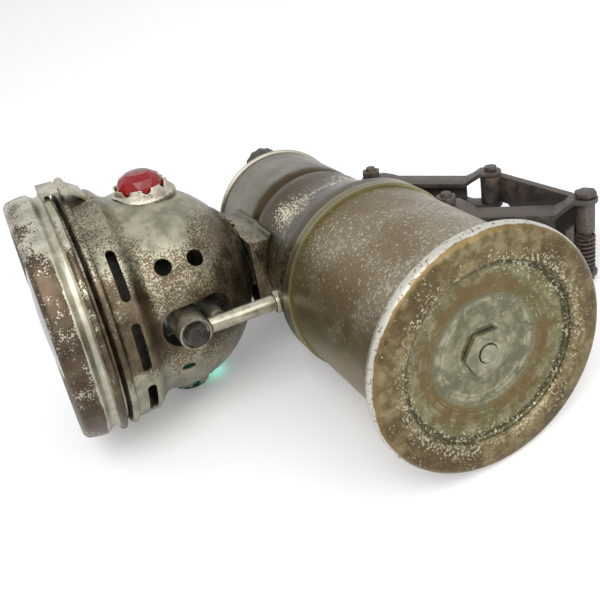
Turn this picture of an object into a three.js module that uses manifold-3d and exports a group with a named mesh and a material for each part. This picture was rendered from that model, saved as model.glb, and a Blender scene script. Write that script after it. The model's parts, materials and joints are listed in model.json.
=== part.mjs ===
import * as THREE from 'three';
import { mergeVertices } from 'three/addons/utils/BufferGeometryUtils.js';
import Module from 'manifold-3d';

const wasm = await Module();
wasm.setup();

// Carbide (acetylene) bicycle lamp. All lengths are millimetres.
// The lamp is drawn upright: X forward along the beam, Y to the rider's left, Z up along the
// generator. At the end it is laid on its right side, as it lies on a table.

// General clearances and sheet
const gap = 0.3;
const overrun = 1;
const sheetWall = 0.7;

// Facets round a full turn
const largeFacets = 26;
const middleFacets = 24;
const smallFacets = 12;

// Base cap
const flangeRadius = 38;
const rimRoundRadius = 3;
const faceRadius = 33.4;
const recessRadius = 27.6;
const recessDepth = 4.4;
const recessLip = 1.2;
const ringDepth = 2.8;
const discRadius = 16.6;
const capSheet = 1.4;
const sleeveTop = 14;
const sleeveWall = 1.3;
const nutCornerRadius = 7.6;
const nutHeight = 1.5;
const studRadius = 2.8;
const studHeadRadius = 5;
const studHeadHeight = 1.2;
const gasketThickness = 1.2;
const gasketWidth = 1.9;

// Carbide chamber and its cup
const chamberRadius = 32.3;
const chamberFlare = 0.4;
const chamberFlareHeight = 12;
const chamberWall = 0.9;
const chamberAbove = 0.9;
const cupPlay = 0.6;
const cupWall = 0.7;
const cupHeight = 48;
const cupBead = 0.8;

// Water tank: heights are steps from one form to the next
const bandPlay = 0.4;
const bandOverlap = 5.6;
const bandStep = 0.3;
const shoulderLift = 1.2;
const shoulderBulge = 4.2;
const shoulderPull = 13.9;
const waistOut = 0.1;
const waistRise = 30.9;
const waistPull = 11;
const creaseRound = 7;
const creaseDepth = 1.1;
const creaseRise = 12;
const tankRadius = 26.8;
const tankFillet = 4.5;
const neckRise = 33.6;
const rimBeadRadius = 0.9;
const lidDepth = 3.4;
const lidThickness = 0.9;
const lidTurnUp = 1.8;
const floorLift = 13.9;
const floorThickness = 0.8;

// Filter under the tank floor
const filterAbove = 6.6;
const filterPlateThickness = 0.8;
const feltThickness = 4.4;

// Water valve and filler
const needleRadius = 1.1;
const needleSeat = 2;
const needlePoint = 3;
const dripTubeRadius = 2.4;
const dripTubeDrop = 3.2;
const dripTubeRise = 14;
const glandRadius = 5;
const glandNeckRadius = 3;
const glandHeight = 3.6;
const knobRadius = 7.5;
const knobHeight = 5.5;
const knobRise = 6;
const knobGrip = 0.5;
const knobLobes = 12;
const fillerForward = 0.5;
const fillerIn = 7.15;
const fillerRadius = 4.4;
const fillerWall = 0.7;
const fillerRise = 9.2;
const fillerFlange = 0.5;
const fillerCapRadius = 7.7;
const fillerCapHeight = 8.7;
const fillerCapRoof = 2;
const fillerCapLift = 4.1;
const washerThickness = 0.9;

// Gas tube and burner
const tubeLift = 2.9;
const tubeRadius = 2.7;
const tubeBore = 1.5;
const tubeInset = 1.6;
const nippleWall = 0.6;
const nippleFlangeWidth = 1;
const nippleFlange = 0.7;
const nippleOut = 1.1;
const nippleIn = 3;
const holderForward = 33.5;
const holderRadius = 5.6;
const holderDrop = 3;
const holderRise = 13;
const holderRecessRadius = 4.6;
const holderRecess = 1;
const holderNeckRadius = 3.4;
const holderNeckRise = 5;
const plugCornerRadius = 3.9;
const plugHeadHeight = 2.6;
const plugShankRadius = 2.3;
const plugShankLength = 5;
const stemForward = 24;
const stemRadius = 2.8;
const stemBore = 1.2;
const flameDrop = 1.6;
const tipRadius = 3.4;
const tipHeight = 15;
const tipSlotWidth = 2.2;
const tipSlotDepth = 6;

// Lamp head, all distances along the beam from the rear of its dome
const headLift = 1.9;
const headStandoff = 3.2;
const domeRadius = 37.4;
const domeReach = 35;
const neckForward = 43.2;
const neckRadius = 37;
const skirtRadius = 43.3;
const skirtLength = 16;
const collarRadius = 40.4;
const collarLength = 4.4;
const collarStep = 0.7;
const slotForward = 50.8;
const slotWidth = 3.2;
const slotPitch = 34.4;
const slotSpan = 20;
const ventRadius = 2.9;
const ventFrontForward = 36;
const ventRearForward = 24.7;
const ventTurn = 32.7;
const peepForward = 36.3;
const peepTurn = -26.7;
const peepLength = 4.9;
const peepWidth = 3.1;
const burnerMouthForward = 29.7;
const burnerMouthLength = 25.6;
const burnerMouthWidth = 14;

// Reflector
const reflectorVertex = 16;
const reflectorFront = 58.6;
const reflectorRadius = 38.2;
const reflectorFlange = 1.1;
const reflectorWall = 0.6;

// Front door with lens: it sits a little to the left of the head's axis, as in the photograph
const doorLeft = 0.7;
const doorRear = 60.9;
const doorDepth = 15.2;
const bezelRadius = 44.8;
const doorWall = 0.8;
const lensRadius = 38.5;
const lensRise = 5.5;
const lensThickness = 2.6;
const lensFront = 77;
const retainerWall = 0.8;
const retainerInner = 36.8;

// Door hinge on the left side
const hingeForward = 56.2;
const hingeOut = 45.8;
const hingePinRadius = 0.8;
const pinHeadRadius = 1.4;
const pinHeadHeight = 0.8;
const knuckleRadius = 1.7;
const knuckleLength = 6.4;
const leafWidth = 13;
const leafThickness = 1;
const strapReach = 6.8;
const strapTurnDown = 1.6;
const bodyLeafReach = 6;

// Side jewels
const jewelForward = 30.7;
const jewelRingRadius = 11.8;
const jewelSeat = 37.7;
const jewelRadius = 8.4;
const jewelHeight = 6.2;
const jewelClaw = 1.9;
const jewelRingDepth = 5.4;
const jewelFacets = 12;
const clawCount = 8;
const clawNotchRadius = 1.7;

// Bracket between tank and head
const boxHalfWidth = 13;
const boxDrop = 19.4;
const boxRise = 14.1;
const boxReach = 5.2;
const boxWall = 1.2;
const boxFlangeHalfWidth = 14.3;
const boxFlangeWall = 1.1;
const boxNeckHalfWidth = 8.5;
const boxNeckHalfHeight = 7;
const saddleWall = 0.9;
const saddleHalfWidth = 21;
const saddleHalfHeight = 8.5;
const rivetRadius = 1.5;
const rivetHeight = 0.9;

// Sprung rear bracket: pins A and B on the generator, C and D on the yoke
const pinAOut = 6.2;
const pinALift = 9.85;
const pinBOut = 4.1;
const pinBDrop = 46.7;
const linkForward = -35.9;
const linkHeight = -30.5;
const pinRadius = 1.8;
const bossRadius = 4.1;
const slimBossRadius = 3.2;
const lugRadius = 4.1;
const linkWall = 1.6;
const lugTop = 12.4;
const upperNearDrop = 2;
const upperFarDrop = 3.8;
const lowerNearDrop = 4.4;
const lowerFarDrop = 5;
const upperLinkBottom = -2;
const lowerLinkBottom = -16.6;
const webOffset = 4.6;
const webEnd = 10;
const linkWaist = 3.4;
const joggleLength = 6;
const nutCorner = 3.8;
const boltHeadCorner = 3.8;
const nutDepth = 2.8;
const lowNutCorner = 3.2;
const lowNutDepth = 1.7;
const boltHeadDepth = 1.9;
const boltTip = 1.4;
const ribLow = 1.5;
const ribHigh = 6.5;
const bracketSaddleWall = 0.8;
const bracketSaddleHalfWidth = 12;
const bracketSaddleDrop = 9.85;
const bracketSaddleRise = 13.15;
const yokeWall = 3;
const yokeDip = 6;
const socketWidth = 14.5;
const socketDepth = 12;
const socketHeight = 25;
const socketLift = 10.4;
const socketSlotWidth = 10.5;
const socketSlotDepth = 7.2;
const socketCentre = -5.25;
const clampRadius = 2.5;
const clampHeadRadius = 5.2;
const clampHeadDepth = 3.4;
const clampNeck = 1.6;

// Torsion spring on pin D
const springMeanRadius = 2.9;
const springWireRadius = 0.52;
const springTurns = 8;
const springStepsPerTurn = 8;
const springSides = 5;
const springArm = 5.2;

// Places along the generator, each standing on the piece below it
const sleeveRadius = chamberRadius - chamberWall - gap;
const sleeveInner = sleeveRadius - sleeveWall;
const studHeadBottom = recessDepth + capSheet + gap;
const studHeadTop = studHeadBottom + studHeadHeight;
const cupRadius = sleeveInner - cupPlay - cupBead;
const cupBottom = studHeadTop + gap;
const cupTop = cupBottom + cupHeight;
const filterPlateBottom = cupTop + filterAbove;
const filterPlateTop = filterPlateBottom + filterPlateThickness;
const feltBottom = filterPlateTop + gap;
const feltTop = feltBottom + feltThickness;
const chamberTop = feltTop + chamberAbove;
const bandRadius = chamberRadius + bandPlay + sheetWall;
const bandBottom = chamberTop - bandOverlap;
const bandTop = chamberTop + bandStep;
const shoulderHeight = bandTop + shoulderLift;
const waistHeight = shoulderHeight + waistRise;
const waistRadius = tankRadius + waistOut;
const creaseRadius = tankRadius - creaseDepth;
const creaseHeight = waistHeight + creaseRise;
const tankHeight = creaseHeight + neckRise;
const floorHeight = shoulderHeight + floorLift;
const dripTubeBottom = filterPlateBottom - dripTubeDrop;
const dripTubeTop = floorHeight + dripTubeRise;
const needleBottom = dripTubeBottom + needleSeat;
const fillerLeft = tankRadius - fillerIn;

// Places of the head, the gas way and the rear bracket, from the tank
const headHeight = creaseHeight + headLift;
const headRear = tankRadius + headStandoff;
const tubeHeight = shoulderHeight + tubeLift;
const holderAt = headRear + holderForward;
const holderBottom = tubeHeight - holderDrop;
const holderTop = tubeHeight + holderRise;
const holderNeckTop = holderTop + holderNeckRise;
const stemAt = headRear + stemForward;
const stemTop = headHeight - flameDrop - tipHeight - 2 * gap;
const boxBottom = headHeight - boxDrop;
const boxTop = headHeight + boxRise;
const boxFront = tankRadius + boxReach;
const pinAForward = -tankRadius - pinAOut;
const pinAHeight = creaseHeight + pinALift;
const pinBForward = -bandRadius - pinBOut;
const pinBHeight = pinAHeight - pinBDrop;

// Small helpers
const quarterTurn = Math.PI / 2;
const turn = (degrees) => THREE.MathUtils.degToRad(degrees);
const mix = THREE.MathUtils.lerp;

function steps(count, make) {
  return Array.from({ length: count + 1 }, (unused, i) => make(i / count));
}

// Closed mesh to solid: shared corners are merged and collapsed triangles dropped
function toSolid(geometry) {
  const plain = geometry.clone();
  plain.deleteAttribute('normal');
  plain.deleteAttribute('uv');
  const merged = mergeVertices(plain);
  const source = merged.index.array;
  const triVerts = [];
  for (let i = 0; i < source.length; i += 3) {
    const [a, b, c] = [source[i], source[i + 1], source[i + 2]];
    if (a !== b && b !== c && c !== a) triVerts.push(a, b, c);
  }
  return new wasm.Manifold(new wasm.Mesh({
    numProp: 3,
    vertProperties: new Float32Array(merged.attributes.position.array),
    triVerts: new Uint32Array(triVerts),
  }));
}

function toGeometry(solid) {
  const mesh = solid.getMesh();
  const geometry = new THREE.BufferGeometry();
  geometry.setAttribute('position', new THREE.BufferAttribute(mesh.vertProperties, 3));
  geometry.setIndex(new THREE.BufferAttribute(mesh.triVerts, 1));
  const flat = geometry.toNonIndexed();
  flat.computeVertexNormals();
  return flat;
}

const move = (solid, x, y, z) => solid.translate([x, y, z]);
const join = (first, ...others) => others.reduce((sum, next) => sum.add(next), first);
const cut = (first, ...others) => others.reduce((rest, next) => rest.subtract(next), first);

// Solid of revolution about Z from an outline of [radius, height] points
function revolve(outline, facets = largeFacets) {
  let area = 0;
  outline.forEach(([r, z], i) => {
    const [nextR, nextZ] = outline[(i + 1) % outline.length];
    area += r * nextZ - nextR * z;
  });
  const points = area > 0 ? [...outline] : [...outline].reverse();
  const start = points.findIndex(([r], i) => r === 0 && points.at(i - 1)[0] === 0);
  const ordered = start < 0 ? points : [...points.slice(start), ...points.slice(0, start)];
  if (start < 0) ordered.push(ordered[0]);
  const geometry = new THREE.LatheGeometry(ordered.map(([r, z]) => new THREE.Vector2(r, z)), facets);
  geometry.rotateX(quarterTurn);
  return toSolid(geometry);
}

// Inner side of a sheet whose outer side runs upwards along the given points
function inset(curve, wall) {
  return curve.map(([r, z], i) => {
    const before = curve[Math.max(i - 1, 0)];
    const after = curve[Math.min(i + 1, curve.length - 1)];
    const inward = new THREE.Vector2(before[1] - after[1], after[0] - before[0]).normalize();
    return [Math.max(r + inward.x * wall, 0), z + inward.y * wall];
  });
}

const sheet = (curve, wall) => [...curve, ...inset(curve, wall).reverse()];
const tube = (outer, inner, low, high) => [[outer, low], [outer, high], [inner, high], [inner, low]];
const disc = (radius, low, high) => [[0, low], [radius, low], [radius, high], [0, high]];

// Prism from an outline of [x, y] points, from low to high along Z
function prism(outline, low, high, holes = []) {
  const shape = new THREE.Shape(outline.map(([x, y]) => new THREE.Vector2(x, y)));
  holes.forEach((hole) => shape.holes.push(new THREE.Path(hole.map(([x, y]) => new THREE.Vector2(x, y)))));
  const geometry = new THREE.ExtrudeGeometry(shape, { depth: high - low, bevelEnabled: false });
  return move(toSolid(geometry), 0, 0, low);
}

function ring(radius, facets, x = 0, y = 0) {
  const points = steps(facets, (share) => {
    const angle = share * 2 * Math.PI;
    return [x + radius * Math.cos(angle), y + radius * Math.sin(angle)];
  });
  return points.slice(0, facets);
}

const round = (radius, low, high, facets = smallFacets) => prism(ring(radius, facets), low, high);
const hexagon = (radius, low, high, hole = []) => prism(ring(radius, 6), low, high, hole);

function block(lowX, highX, lowY, highY, lowZ, highZ) {
  return prism([[lowX, lowY], [highX, lowY], [highX, highY], [lowX, highY]], lowZ, highZ);
}

// Outline in the lamp's X and Z, from low to high along Y
function plateY(outline, low, high, holes = []) {
  return prism(outline, -high, -low, holes).rotate([90, 0, 0]);
}

const roundY = (radius, x, z, low, high, facets = smallFacets) => plateY(ring(radius, facets, x, z), low, high);

const lamp = new THREE.Group();
const head = new THREE.Group();
head.position.set(headRear, 0, headHeight);
head.rotation.y = quarterTurn;
lamp.add(head);

// Finishes
const finishes = {
  nickel: { color: 0x857a68, metalness: 0.85, roughness: 0.45 },
  brightNickel: { color: 0xc9c6bb, metalness: 0.95, roughness: 0.25 },
  oldBrass: { color: 0x8d8158, metalness: 0.8, roughness: 0.5 },
  rustySteel: { color: 0x4c463f, metalness: 0.7, roughness: 0.7 },
  darkSteel: { color: 0x33373a, metalness: 0.7, roughness: 0.55 },
  silver: { color: 0xd8d8d2, metalness: 1, roughness: 0.15 },
  rubber: { color: 0x2a2724, metalness: 0, roughness: 0.9 },
  felt: { color: 0xb7ab8f, metalness: 0, roughness: 1 },
  ceramic: { color: 0xe2dccb, metalness: 0, roughness: 0.7 },
  redGlass: { color: 0xb3061f, metalness: 0, roughness: 0.1, transparent: true, opacity: 0.8 },
  greenGlass: { color: 0x0a8a55, metalness: 0, roughness: 0.1, transparent: true, opacity: 0.8 },
  clearGlass: { color: 0xdfeeee, metalness: 0, roughness: 0.05, transparent: true, opacity: 0.35 },
};

function add(name, solid, finish, parent = lamp) {
  const mesh = new THREE.Mesh(toGeometry(solid), new THREE.MeshStandardMaterial(finishes[finish]));
  mesh.name = name;
  parent.add(mesh);
  return mesh;
}

// Base cap: a spun flange with a rolled rim, a recessed ring and disc, and a screwed sleeve
const rimCentre = rimRoundRadius + gap;
const rimTop = rimCentre + rimRoundRadius;
const studBore = studRadius + gap;

function baseCap() {
  const roll = steps(5, (share) => {
    const angle = mix(-quarterTurn, quarterTurn, share);
    return [
      flangeRadius - rimRoundRadius + rimRoundRadius * Math.cos(angle),
      rimCentre + rimRoundRadius * Math.sin(angle),
    ];
  });
  const underside = [
    [0, recessDepth],
    [discRadius, recessDepth],
    [discRadius + recessLip, ringDepth + recessLip],
    [recessRadius - recessLip, ringDepth],
    [recessRadius, recessLip],
    [recessRadius + recessLip, 0],
    [faceRadius, 0],
  ];
  const inside = [
    [sleeveRadius, rimTop],
    [sleeveRadius, sleeveTop],
    [sleeveInner, sleeveTop],
    [sleeveInner, recessLip + capSheet],
    [recessRadius, ringDepth + capSheet],
    [discRadius + recessLip, recessDepth + capSheet],
    [0, recessDepth + capSheet],
  ];
  const body = revolve([...underside, ...roll, ...inside]);
  return cut(body, round(studBore, recessDepth - overrun, recessDepth + capSheet + overrun));
}
add('base_cap', baseCap(), 'oldBrass');

const nutTop = recessDepth - gap;
add('cap_nut', hexagon(nutCornerRadius, nutTop - nutHeight, nutTop, [ring(studBore, smallFacets)]), 'oldBrass');

add('cap_stud', revolve([
  [0, nutTop - nutHeight - gap],
  [studRadius, nutTop - nutHeight - gap],
  [studRadius, studHeadBottom],
  [studHeadRadius, studHeadBottom],
  [studHeadRadius, studHeadTop],
  [0, studHeadTop],
], smallFacets), 'oldBrass');

const gasketBottom = rimTop + gap;
const gasketInner = sleeveRadius + gap;
add('base_gasket', revolve(
  tube(gasketInner + gasketWidth, gasketInner, gasketBottom, gasketBottom + gasketThickness),
), 'rubber');

// Carbide chamber and the loose cup that stands in it
const chamberBottom = gasketBottom + gasketThickness + gap;
function chamber() {
  const wallBottom = chamberRadius - chamberWall;
  return revolve([
    [chamberRadius + chamberFlare, chamberBottom],
    [chamberRadius, chamberBottom + chamberFlareHeight],
    [chamberRadius, chamberTop],
    [wallBottom, chamberTop],
    [wallBottom, chamberBottom],
  ]);
}
add('carbide_chamber', chamber(), 'nickel');

add('carbide_cup', revolve([
  [0, cupBottom],
  [cupRadius - cupBead, cupBottom],
  [cupRadius, cupBottom + cupBead],
  [cupRadius, cupTop - cupBead],
  [cupRadius + cupBead, cupTop],
  [cupRadius - cupWall, cupTop],
  [cupRadius - cupWall, cupBottom + cupBead + cupWall],
  [cupRadius - cupBead - cupWall, cupBottom + cupWall],
  [0, cupBottom + cupWall],
], middleFacets), 'oldBrass');

// Water tank: band over the chamber, bell-shaped shoulder, crease, straight neck and beaded rim
function tankCurve() {
  const shoulder = new THREE.CubicBezierCurve(
    new THREE.Vector2(bandRadius, shoulderHeight),
    new THREE.Vector2(bandRadius - shoulderBulge, shoulderHeight + shoulderPull),
    new THREE.Vector2(waistRadius, waistHeight - waistPull),
    new THREE.Vector2(waistRadius, waistHeight),
  );
  const belowCrease = steps(2, (share) => [
    mix(waistRadius, creaseRadius, share ** 2),
    mix(creaseHeight - creaseRound, creaseHeight, share),
  ]);
  const aboveCrease = steps(2, (share) => [
    mix(tankRadius, creaseRadius, (1 - share) ** 2),
    mix(creaseHeight, creaseHeight + tankFillet, share),
  ]);
  const bead = steps(4, (share) => {
    const angle = mix(-quarterTurn, quarterTurn, share);
    const rise = rimBeadRadius * Math.sin(angle);
    return [tankRadius + rimBeadRadius * Math.cos(angle), tankHeight - rimBeadRadius + rise];
  });
  return [
    [bandRadius, bandBottom],
    ...shoulder.getPoints(6).map(({ x, y }) => [x, y]),
    ...belowCrease,
    ...aboveCrease.slice(1),
    ...bead,
  ];
}
const tankOutline = tankCurve();
const tankWallCurve = tankOutline.slice(0, -4);
const tankInside = tankRadius - sheetWall;

// Radius of a form's outline at a given height along its axis
function radiusAt(outline, height) {
  const next = outline.findIndex(([, z]) => z > height);
  const [lowR, lowZ] = outline[next - 1];
  const [highR, highZ] = outline[next];
  return mix(lowR, highR, (height - lowZ) / (highZ - lowZ));
}

// The tank filled in and grown by a margin, with the space over its lid
function tankSolid(margin) {
  const grown = tankOutline.map(([r, z]) => [r + margin, z]);
  const [lowR, lowZ] = grown[0];
  const overLid = tankHeight + tankRadius;
  return revolve([
    [0, lowZ - overrun], [lowR, lowZ - overrun], ...grown, [tankRadius + margin, overLid], [0, overLid],
  ]);
}

const nippleBore = tubeRadius + gap;
const nippleRadius = nippleBore + nippleWall;
const nippleHole = round(nippleRadius + gap, 0, flangeRadius).rotate([0, 90, 0]);
function waterTank() {
  const inner = inset(tankWallCurve, sheetWall);
  const profile = [...tankOutline, [tankInside, tankHeight], ...inner.reverse()];
  return cut(revolve(profile), move(nippleHole, 0, 0, tubeHeight));
}
add('water_tank', waterTank(), 'nickel');

const lidRadius = tankInside - gap;
const lidBottom = tankHeight - lidDepth - lidThickness;
const lidTop = lidBottom + lidThickness;
function tankLid() {
  const plate = revolve([
    [0, lidBottom],
    [lidRadius, lidBottom],
    [lidRadius, lidTop + lidTurnUp],
    [lidRadius - lidThickness, lidTop + lidTurnUp],
    [lidRadius - lidThickness, lidTop],
    [0, lidTop],
  ]);
  const valveHole = round(glandNeckRadius + gap, lidBottom - overrun, lidTop + overrun);
  const fillerHole = round(fillerRadius + gap, lidBottom - overrun, lidTop + overrun);
  return cut(plate, valveHole, move(fillerHole, fillerForward, fillerLeft, 0));
}
add('tank_lid', tankLid(), 'nickel');

const dripHole = [ring(dripTubeRadius + gap, smallFacets)];
const floorRadius = radiusAt(tankOutline, floorHeight + floorThickness) - sheetWall - 2 * gap;
add('tank_floor', prism(
  ring(floorRadius, largeFacets), floorHeight, floorHeight + floorThickness, dripHole,
), 'oldBrass');

// Gas filter: a perforated plate with a felt disc on it
const filterRing = ring(chamberRadius - chamberWall - gap, middleFacets);
add('filter_plate', prism(filterRing, filterPlateBottom, filterPlateTop, dripHole), 'oldBrass');
add('filter_felt', prism(filterRing, feltBottom, feltTop, dripHole), 'felt');

// Water valve: drip tube, gland, needle and knob
const needleBore = needleRadius + gap;
add('drip_tube', revolve(tube(dripTubeRadius, needleBore, dripTubeBottom, dripTubeTop), smallFacets), 'oldBrass');

const glandTop = lidTop + gap + glandHeight;
add('valve_gland', revolve([
  [needleBore, lidBottom - glandHeight / 2],
  [glandNeckRadius, lidBottom - glandHeight / 2],
  [glandNeckRadius, lidTop + gap],
  [glandRadius, lidTop + gap],
  [glandRadius, glandTop - glandHeight / 3],
  [glandNeckRadius, glandTop],
  [needleBore, glandTop],
], smallFacets), 'nickel');

const knobBottom = lidTop + knobRise;
const knobTop = knobBottom + knobHeight;
add('valve_needle', revolve([
  [0, needleBottom],
  [needleRadius, needleBottom + needlePoint],
  [needleRadius, knobTop - gap],
  [0, knobTop - gap],
], smallFacets), 'oldBrass');

// Grooved edge of a knob that fingers turn
function fluted(radius, lobes) {
  return steps(lobes * 4, (share) => {
    const angle = share * 2 * Math.PI;
    const reach = radius - knobGrip * (1 - Math.cos(angle * lobes)) / 2;
    return [reach * Math.cos(angle), reach * Math.sin(angle)];
  }).slice(0, lobes * 4);
}
add('valve_knob', prism(
  fluted(knobRadius, knobLobes), knobBottom, knobTop, [ring(needleBore, smallFacets)],
), 'darkSteel');

// Filler: neck soldered in the lid, sealing washer and screwed cap
const neckFlangeTop = lidTop + gap + fillerFlange;
const fillerTop = lidTop + fillerRise;
const fillerGroup = new THREE.Group();
fillerGroup.position.set(fillerForward, fillerLeft, 0);
lamp.add(fillerGroup);
add('filler_neck', revolve([
  [fillerRadius, lidBottom - fillerFlange],
  [fillerRadius, lidTop + gap],
  [fillerRadius + fillerFlange, lidTop + gap],
  [fillerRadius + fillerFlange, neckFlangeTop],
  [fillerRadius, neckFlangeTop],
  [fillerRadius, fillerTop],
  [fillerRadius - fillerWall, fillerTop],
  [fillerRadius - fillerWall, lidBottom - fillerFlange],
], smallFacets), 'oldBrass', fillerGroup);

const fillerCapBottom = lidTop + fillerCapLift;
const fillerCapTop = fillerCapBottom + fillerCapHeight;
const fillerRoof = fillerCapTop - fillerCapRoof;
const fillerCapBore = fillerRadius + gap;
const cavity = round(fillerCapBore, fillerCapBottom - overrun, fillerRoof);
add('filler_cap', cut(prism(
  fluted(fillerCapRadius, knobLobes), fillerCapBottom, fillerCapTop,
), cavity), 'darkSteel', fillerGroup);
add('filler_washer', revolve(
  tube(fillerRadius, fillerRadius - 2 * fillerWall, fillerTop + gap, fillerTop + gap + washerThickness), smallFacets,
), 'rubber', fillerGroup);

// Gas tube from the shoulder to the burner holder
const tankAtTube = radiusAt(tankOutline, tubeHeight);
const alongX = (solid, z) => move(solid.rotate([0, 90, 0]), 0, 0, z);
const nippleEnd = bandRadius + gap + nippleOut;
const nippleShank = revolve(tube(nippleRadius, nippleBore, tankAtTube - nippleIn, nippleEnd), smallFacets);
const nippleSeat = revolve(
  tube(nippleBore + nippleFlangeWidth, nippleBore, tankAtTube - nippleFlange, bandRadius + gap + nippleFlange),
  smallFacets,
);
const nippleFlangeSolid = cut(alongX(nippleSeat, tubeHeight), tankSolid(gap));
add('gas_nipple', join(alongX(nippleShank, tubeHeight), nippleFlangeSolid), 'brightNickel');

const holderClear = move(
  round(holderRadius + gap, holderBottom - overrun, holderTop, middleFacets), holderAt, 0, 0,
);
const tubeRun = alongX(
  revolve(tube(tubeRadius, tubeBore, tankAtTube - tubeInset, holderAt), smallFacets), tubeHeight,
);
add('gas_tube', cut(tubeRun, holderClear), 'brightNickel');

const holderRecessTop = holderBottom + holderRecess;
const plugBore = plugShankRadius + gap;
function burnerHolder() {
  const plugHoleTop = holderRecessTop + plugShankLength + gap;
  return revolve([
    [0, plugHoleTop],
    [plugBore, plugHoleTop],
    [plugBore, holderRecessTop],
    [holderRecessRadius, holderRecessTop],
    [holderRecessRadius, holderBottom],
    [holderRadius, holderBottom],
    [holderRadius, holderTop - gap],
    [holderNeckRadius, holderTop],
    [holderNeckRadius, holderNeckTop],
    [0, holderNeckTop],
  ], middleFacets);
}
add('burner_holder', move(burnerHolder(), holderAt, 0, 0), 'nickel');

const plugHeadTop = holderRecessTop - gap;
add('holder_plug', move(join(
  hexagon(plugCornerRadius, plugHeadTop - plugHeadHeight, plugHeadTop),
  round(plugShankRadius, plugHeadTop - plugHeadHeight / 2, plugHeadTop + plugShankLength),
), holderAt, 0, 0), 'darkSteel');

const stemBottom = tubeHeight + tubeRadius + gap;
add('burner_stem', move(
  revolve(tube(stemRadius, stemBore, stemBottom, stemTop), smallFacets), stemAt, 0, 0,
), 'nickel');

// Burner tip: a ceramic fork, its slot across the beam
function burnerTip() {
  const low = stemTop + gap;
  const high = low + tipHeight;
  const body = revolve([
    [0, low],
    [tipRadius, low],
    [tipRadius, mix(low, high, 0.4)],
    [tipRadius * 0.7, mix(low, high, 0.55)],
    [tipRadius, high],
    [0, high],
  ], smallFacets);
  const halfSlot = tipSlotWidth / 2;
  const slot = block(-tipRadius * 2, tipRadius * 2, -halfSlot, halfSlot, high - tipSlotDepth, high + overrun);
  return move(cut(body, slot), stemAt, 0, 0);
}
add('burner_tip', burnerTip(), 'ceramic');

// Lamp head, drawn in its own frame: Z along the beam, X down, Y left
const domeEnd = Math.acos((domeReach - neckForward) / domeReach);
const domeCurve = steps(8, (share) => [
  domeRadius * Math.sin(share * domeEnd),
  domeReach - domeReach * Math.cos(share * domeEnd),
]);
const skirtShares = [
  [0, 0], [0.19, 0.11], [0.635, 0.275], [0.7, 0.425], [0.78, 0.775], [0.97, 0.84], [1, 0.91],
  [0.905, 0.975], [0.73, 1],
];
const skirtFront = neckForward + skirtLength;

function headCurve() {
  const waist = skirtShares.map(([out, along]) => [
    mix(neckRadius, skirtRadius, out),
    neckForward + along * skirtLength,
  ]);
  const collarRear = skirtFront + collarStep;
  return [
    ...domeCurve.slice(0, -1),
    ...waist,
    [collarRadius, collarRear],
    [collarRadius, collarRear + collarLength],
  ];
}

// The head's outside filled in, grown by a margin, turned to run along the lamp's X
function headSolid(margin) {
  const grown = inset(headCurve(), -margin);
  return revolve([[0, grown[0][1]], ...grown, [0, grown.at(-1)[1]]]).rotate([0, 90, 0]);
}

// Cutter that reaches out from the head's axis at one turn from straight down
function ray(outline, turnDegrees) {
  const reach = prism(outline, 0, skirtRadius * 2).rotate([0, 90, 0]);
  return reach.rotate([0, 0, turnDegrees]);
}
const oval = (forward, length, width, facets) => ring(1, facets).map(([x, y]) => [
  -forward + x * length / 2,
  y * width / 2,
]);

// Skirt slot with round ends
function skirtSlot(turnDegrees) {
  const half = slotWidth / 2;
  const wedge = steps(4, (share) => {
    const angle = turn(mix(-slotSpan / 2, slotSpan / 2, share));
    return [skirtRadius * 2 * Math.cos(angle), skirtRadius * 2 * Math.sin(angle)];
  });
  const slot = prism([[neckRadius / 2, 0], ...wedge], slotForward - half, slotForward + half);
  const end = ring(half, smallFacets, -slotForward);
  return join(slot, ray(end, -slotSpan / 2), ray(end, slotSpan / 2)).rotate([0, 0, turnDegrees]);
}

function headBody() {
  const curve = headCurve();
  let body = revolve(sheet(curve, sheetWall));
  const mouth = ring(1, middleFacets).map(([x, y]) => {
    const straight = (burnerMouthLength - burnerMouthWidth) / 2 * Math.sign(x);
    return [-burnerMouthForward + straight + x * burnerMouthWidth / 2, y * burnerMouthWidth / 2];
  });
  body = cut(body, ray(mouth, 0), ray(oval(peepForward, peepLength, peepWidth, smallFacets), peepTurn));
  for (const forward of [ventFrontForward, ventRearForward]) {
    const vent = oval(forward, ventRadius * 2, ventRadius * 2, smallFacets);
    body = cut(body, ray(vent, ventTurn), ray(vent, 180 - ventTurn), ray(vent, 180 + ventTurn));
  }
  for (const step of [-1, 0, 1]) {
    body = cut(body, skirtSlot(step * slotPitch), skirtSlot(180 + step * slotPitch));
  }
  const jewelHole = prism(ring(jewelRadius - gap, middleFacets, -jewelForward), -skirtRadius * 2, skirtRadius * 2);
  return cut(body, jewelHole.rotate([0, 90, 0]).rotate([0, 0, 90]));
}
add('head_body', headBody(), 'nickel', head);

function reflector() {
  const curve = steps(6, (share) => [
    reflectorRadius * share,
    mix(reflectorVertex, reflectorFront, share ** 2),
  ]);
  const front = inset(curve, reflectorWall);
  const edge = reflectorRadius + reflectorFlange;
  const lipFront = reflectorFront + reflectorWall;
  const lip = [[edge, reflectorFront], [edge, lipFront], [front.at(-1)[0], lipFront]];
  const bowl = revolve([...curve, ...lip, ...front.reverse()], middleFacets);
  const slotRear = reflectorVertex + overrun;
  const half = holderRadius + 2 * gap;
  const burnerSlot = block(tipRadius + overrun, skirtRadius, -half, half, slotRear, holderForward + half);
  const chimney = ray(oval(stemForward, burnerMouthWidth, burnerMouthWidth, smallFacets), 180);
  return cut(bowl, burnerSlot, chimney);
}
add('reflector', reflector(), 'silver', head);

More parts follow.
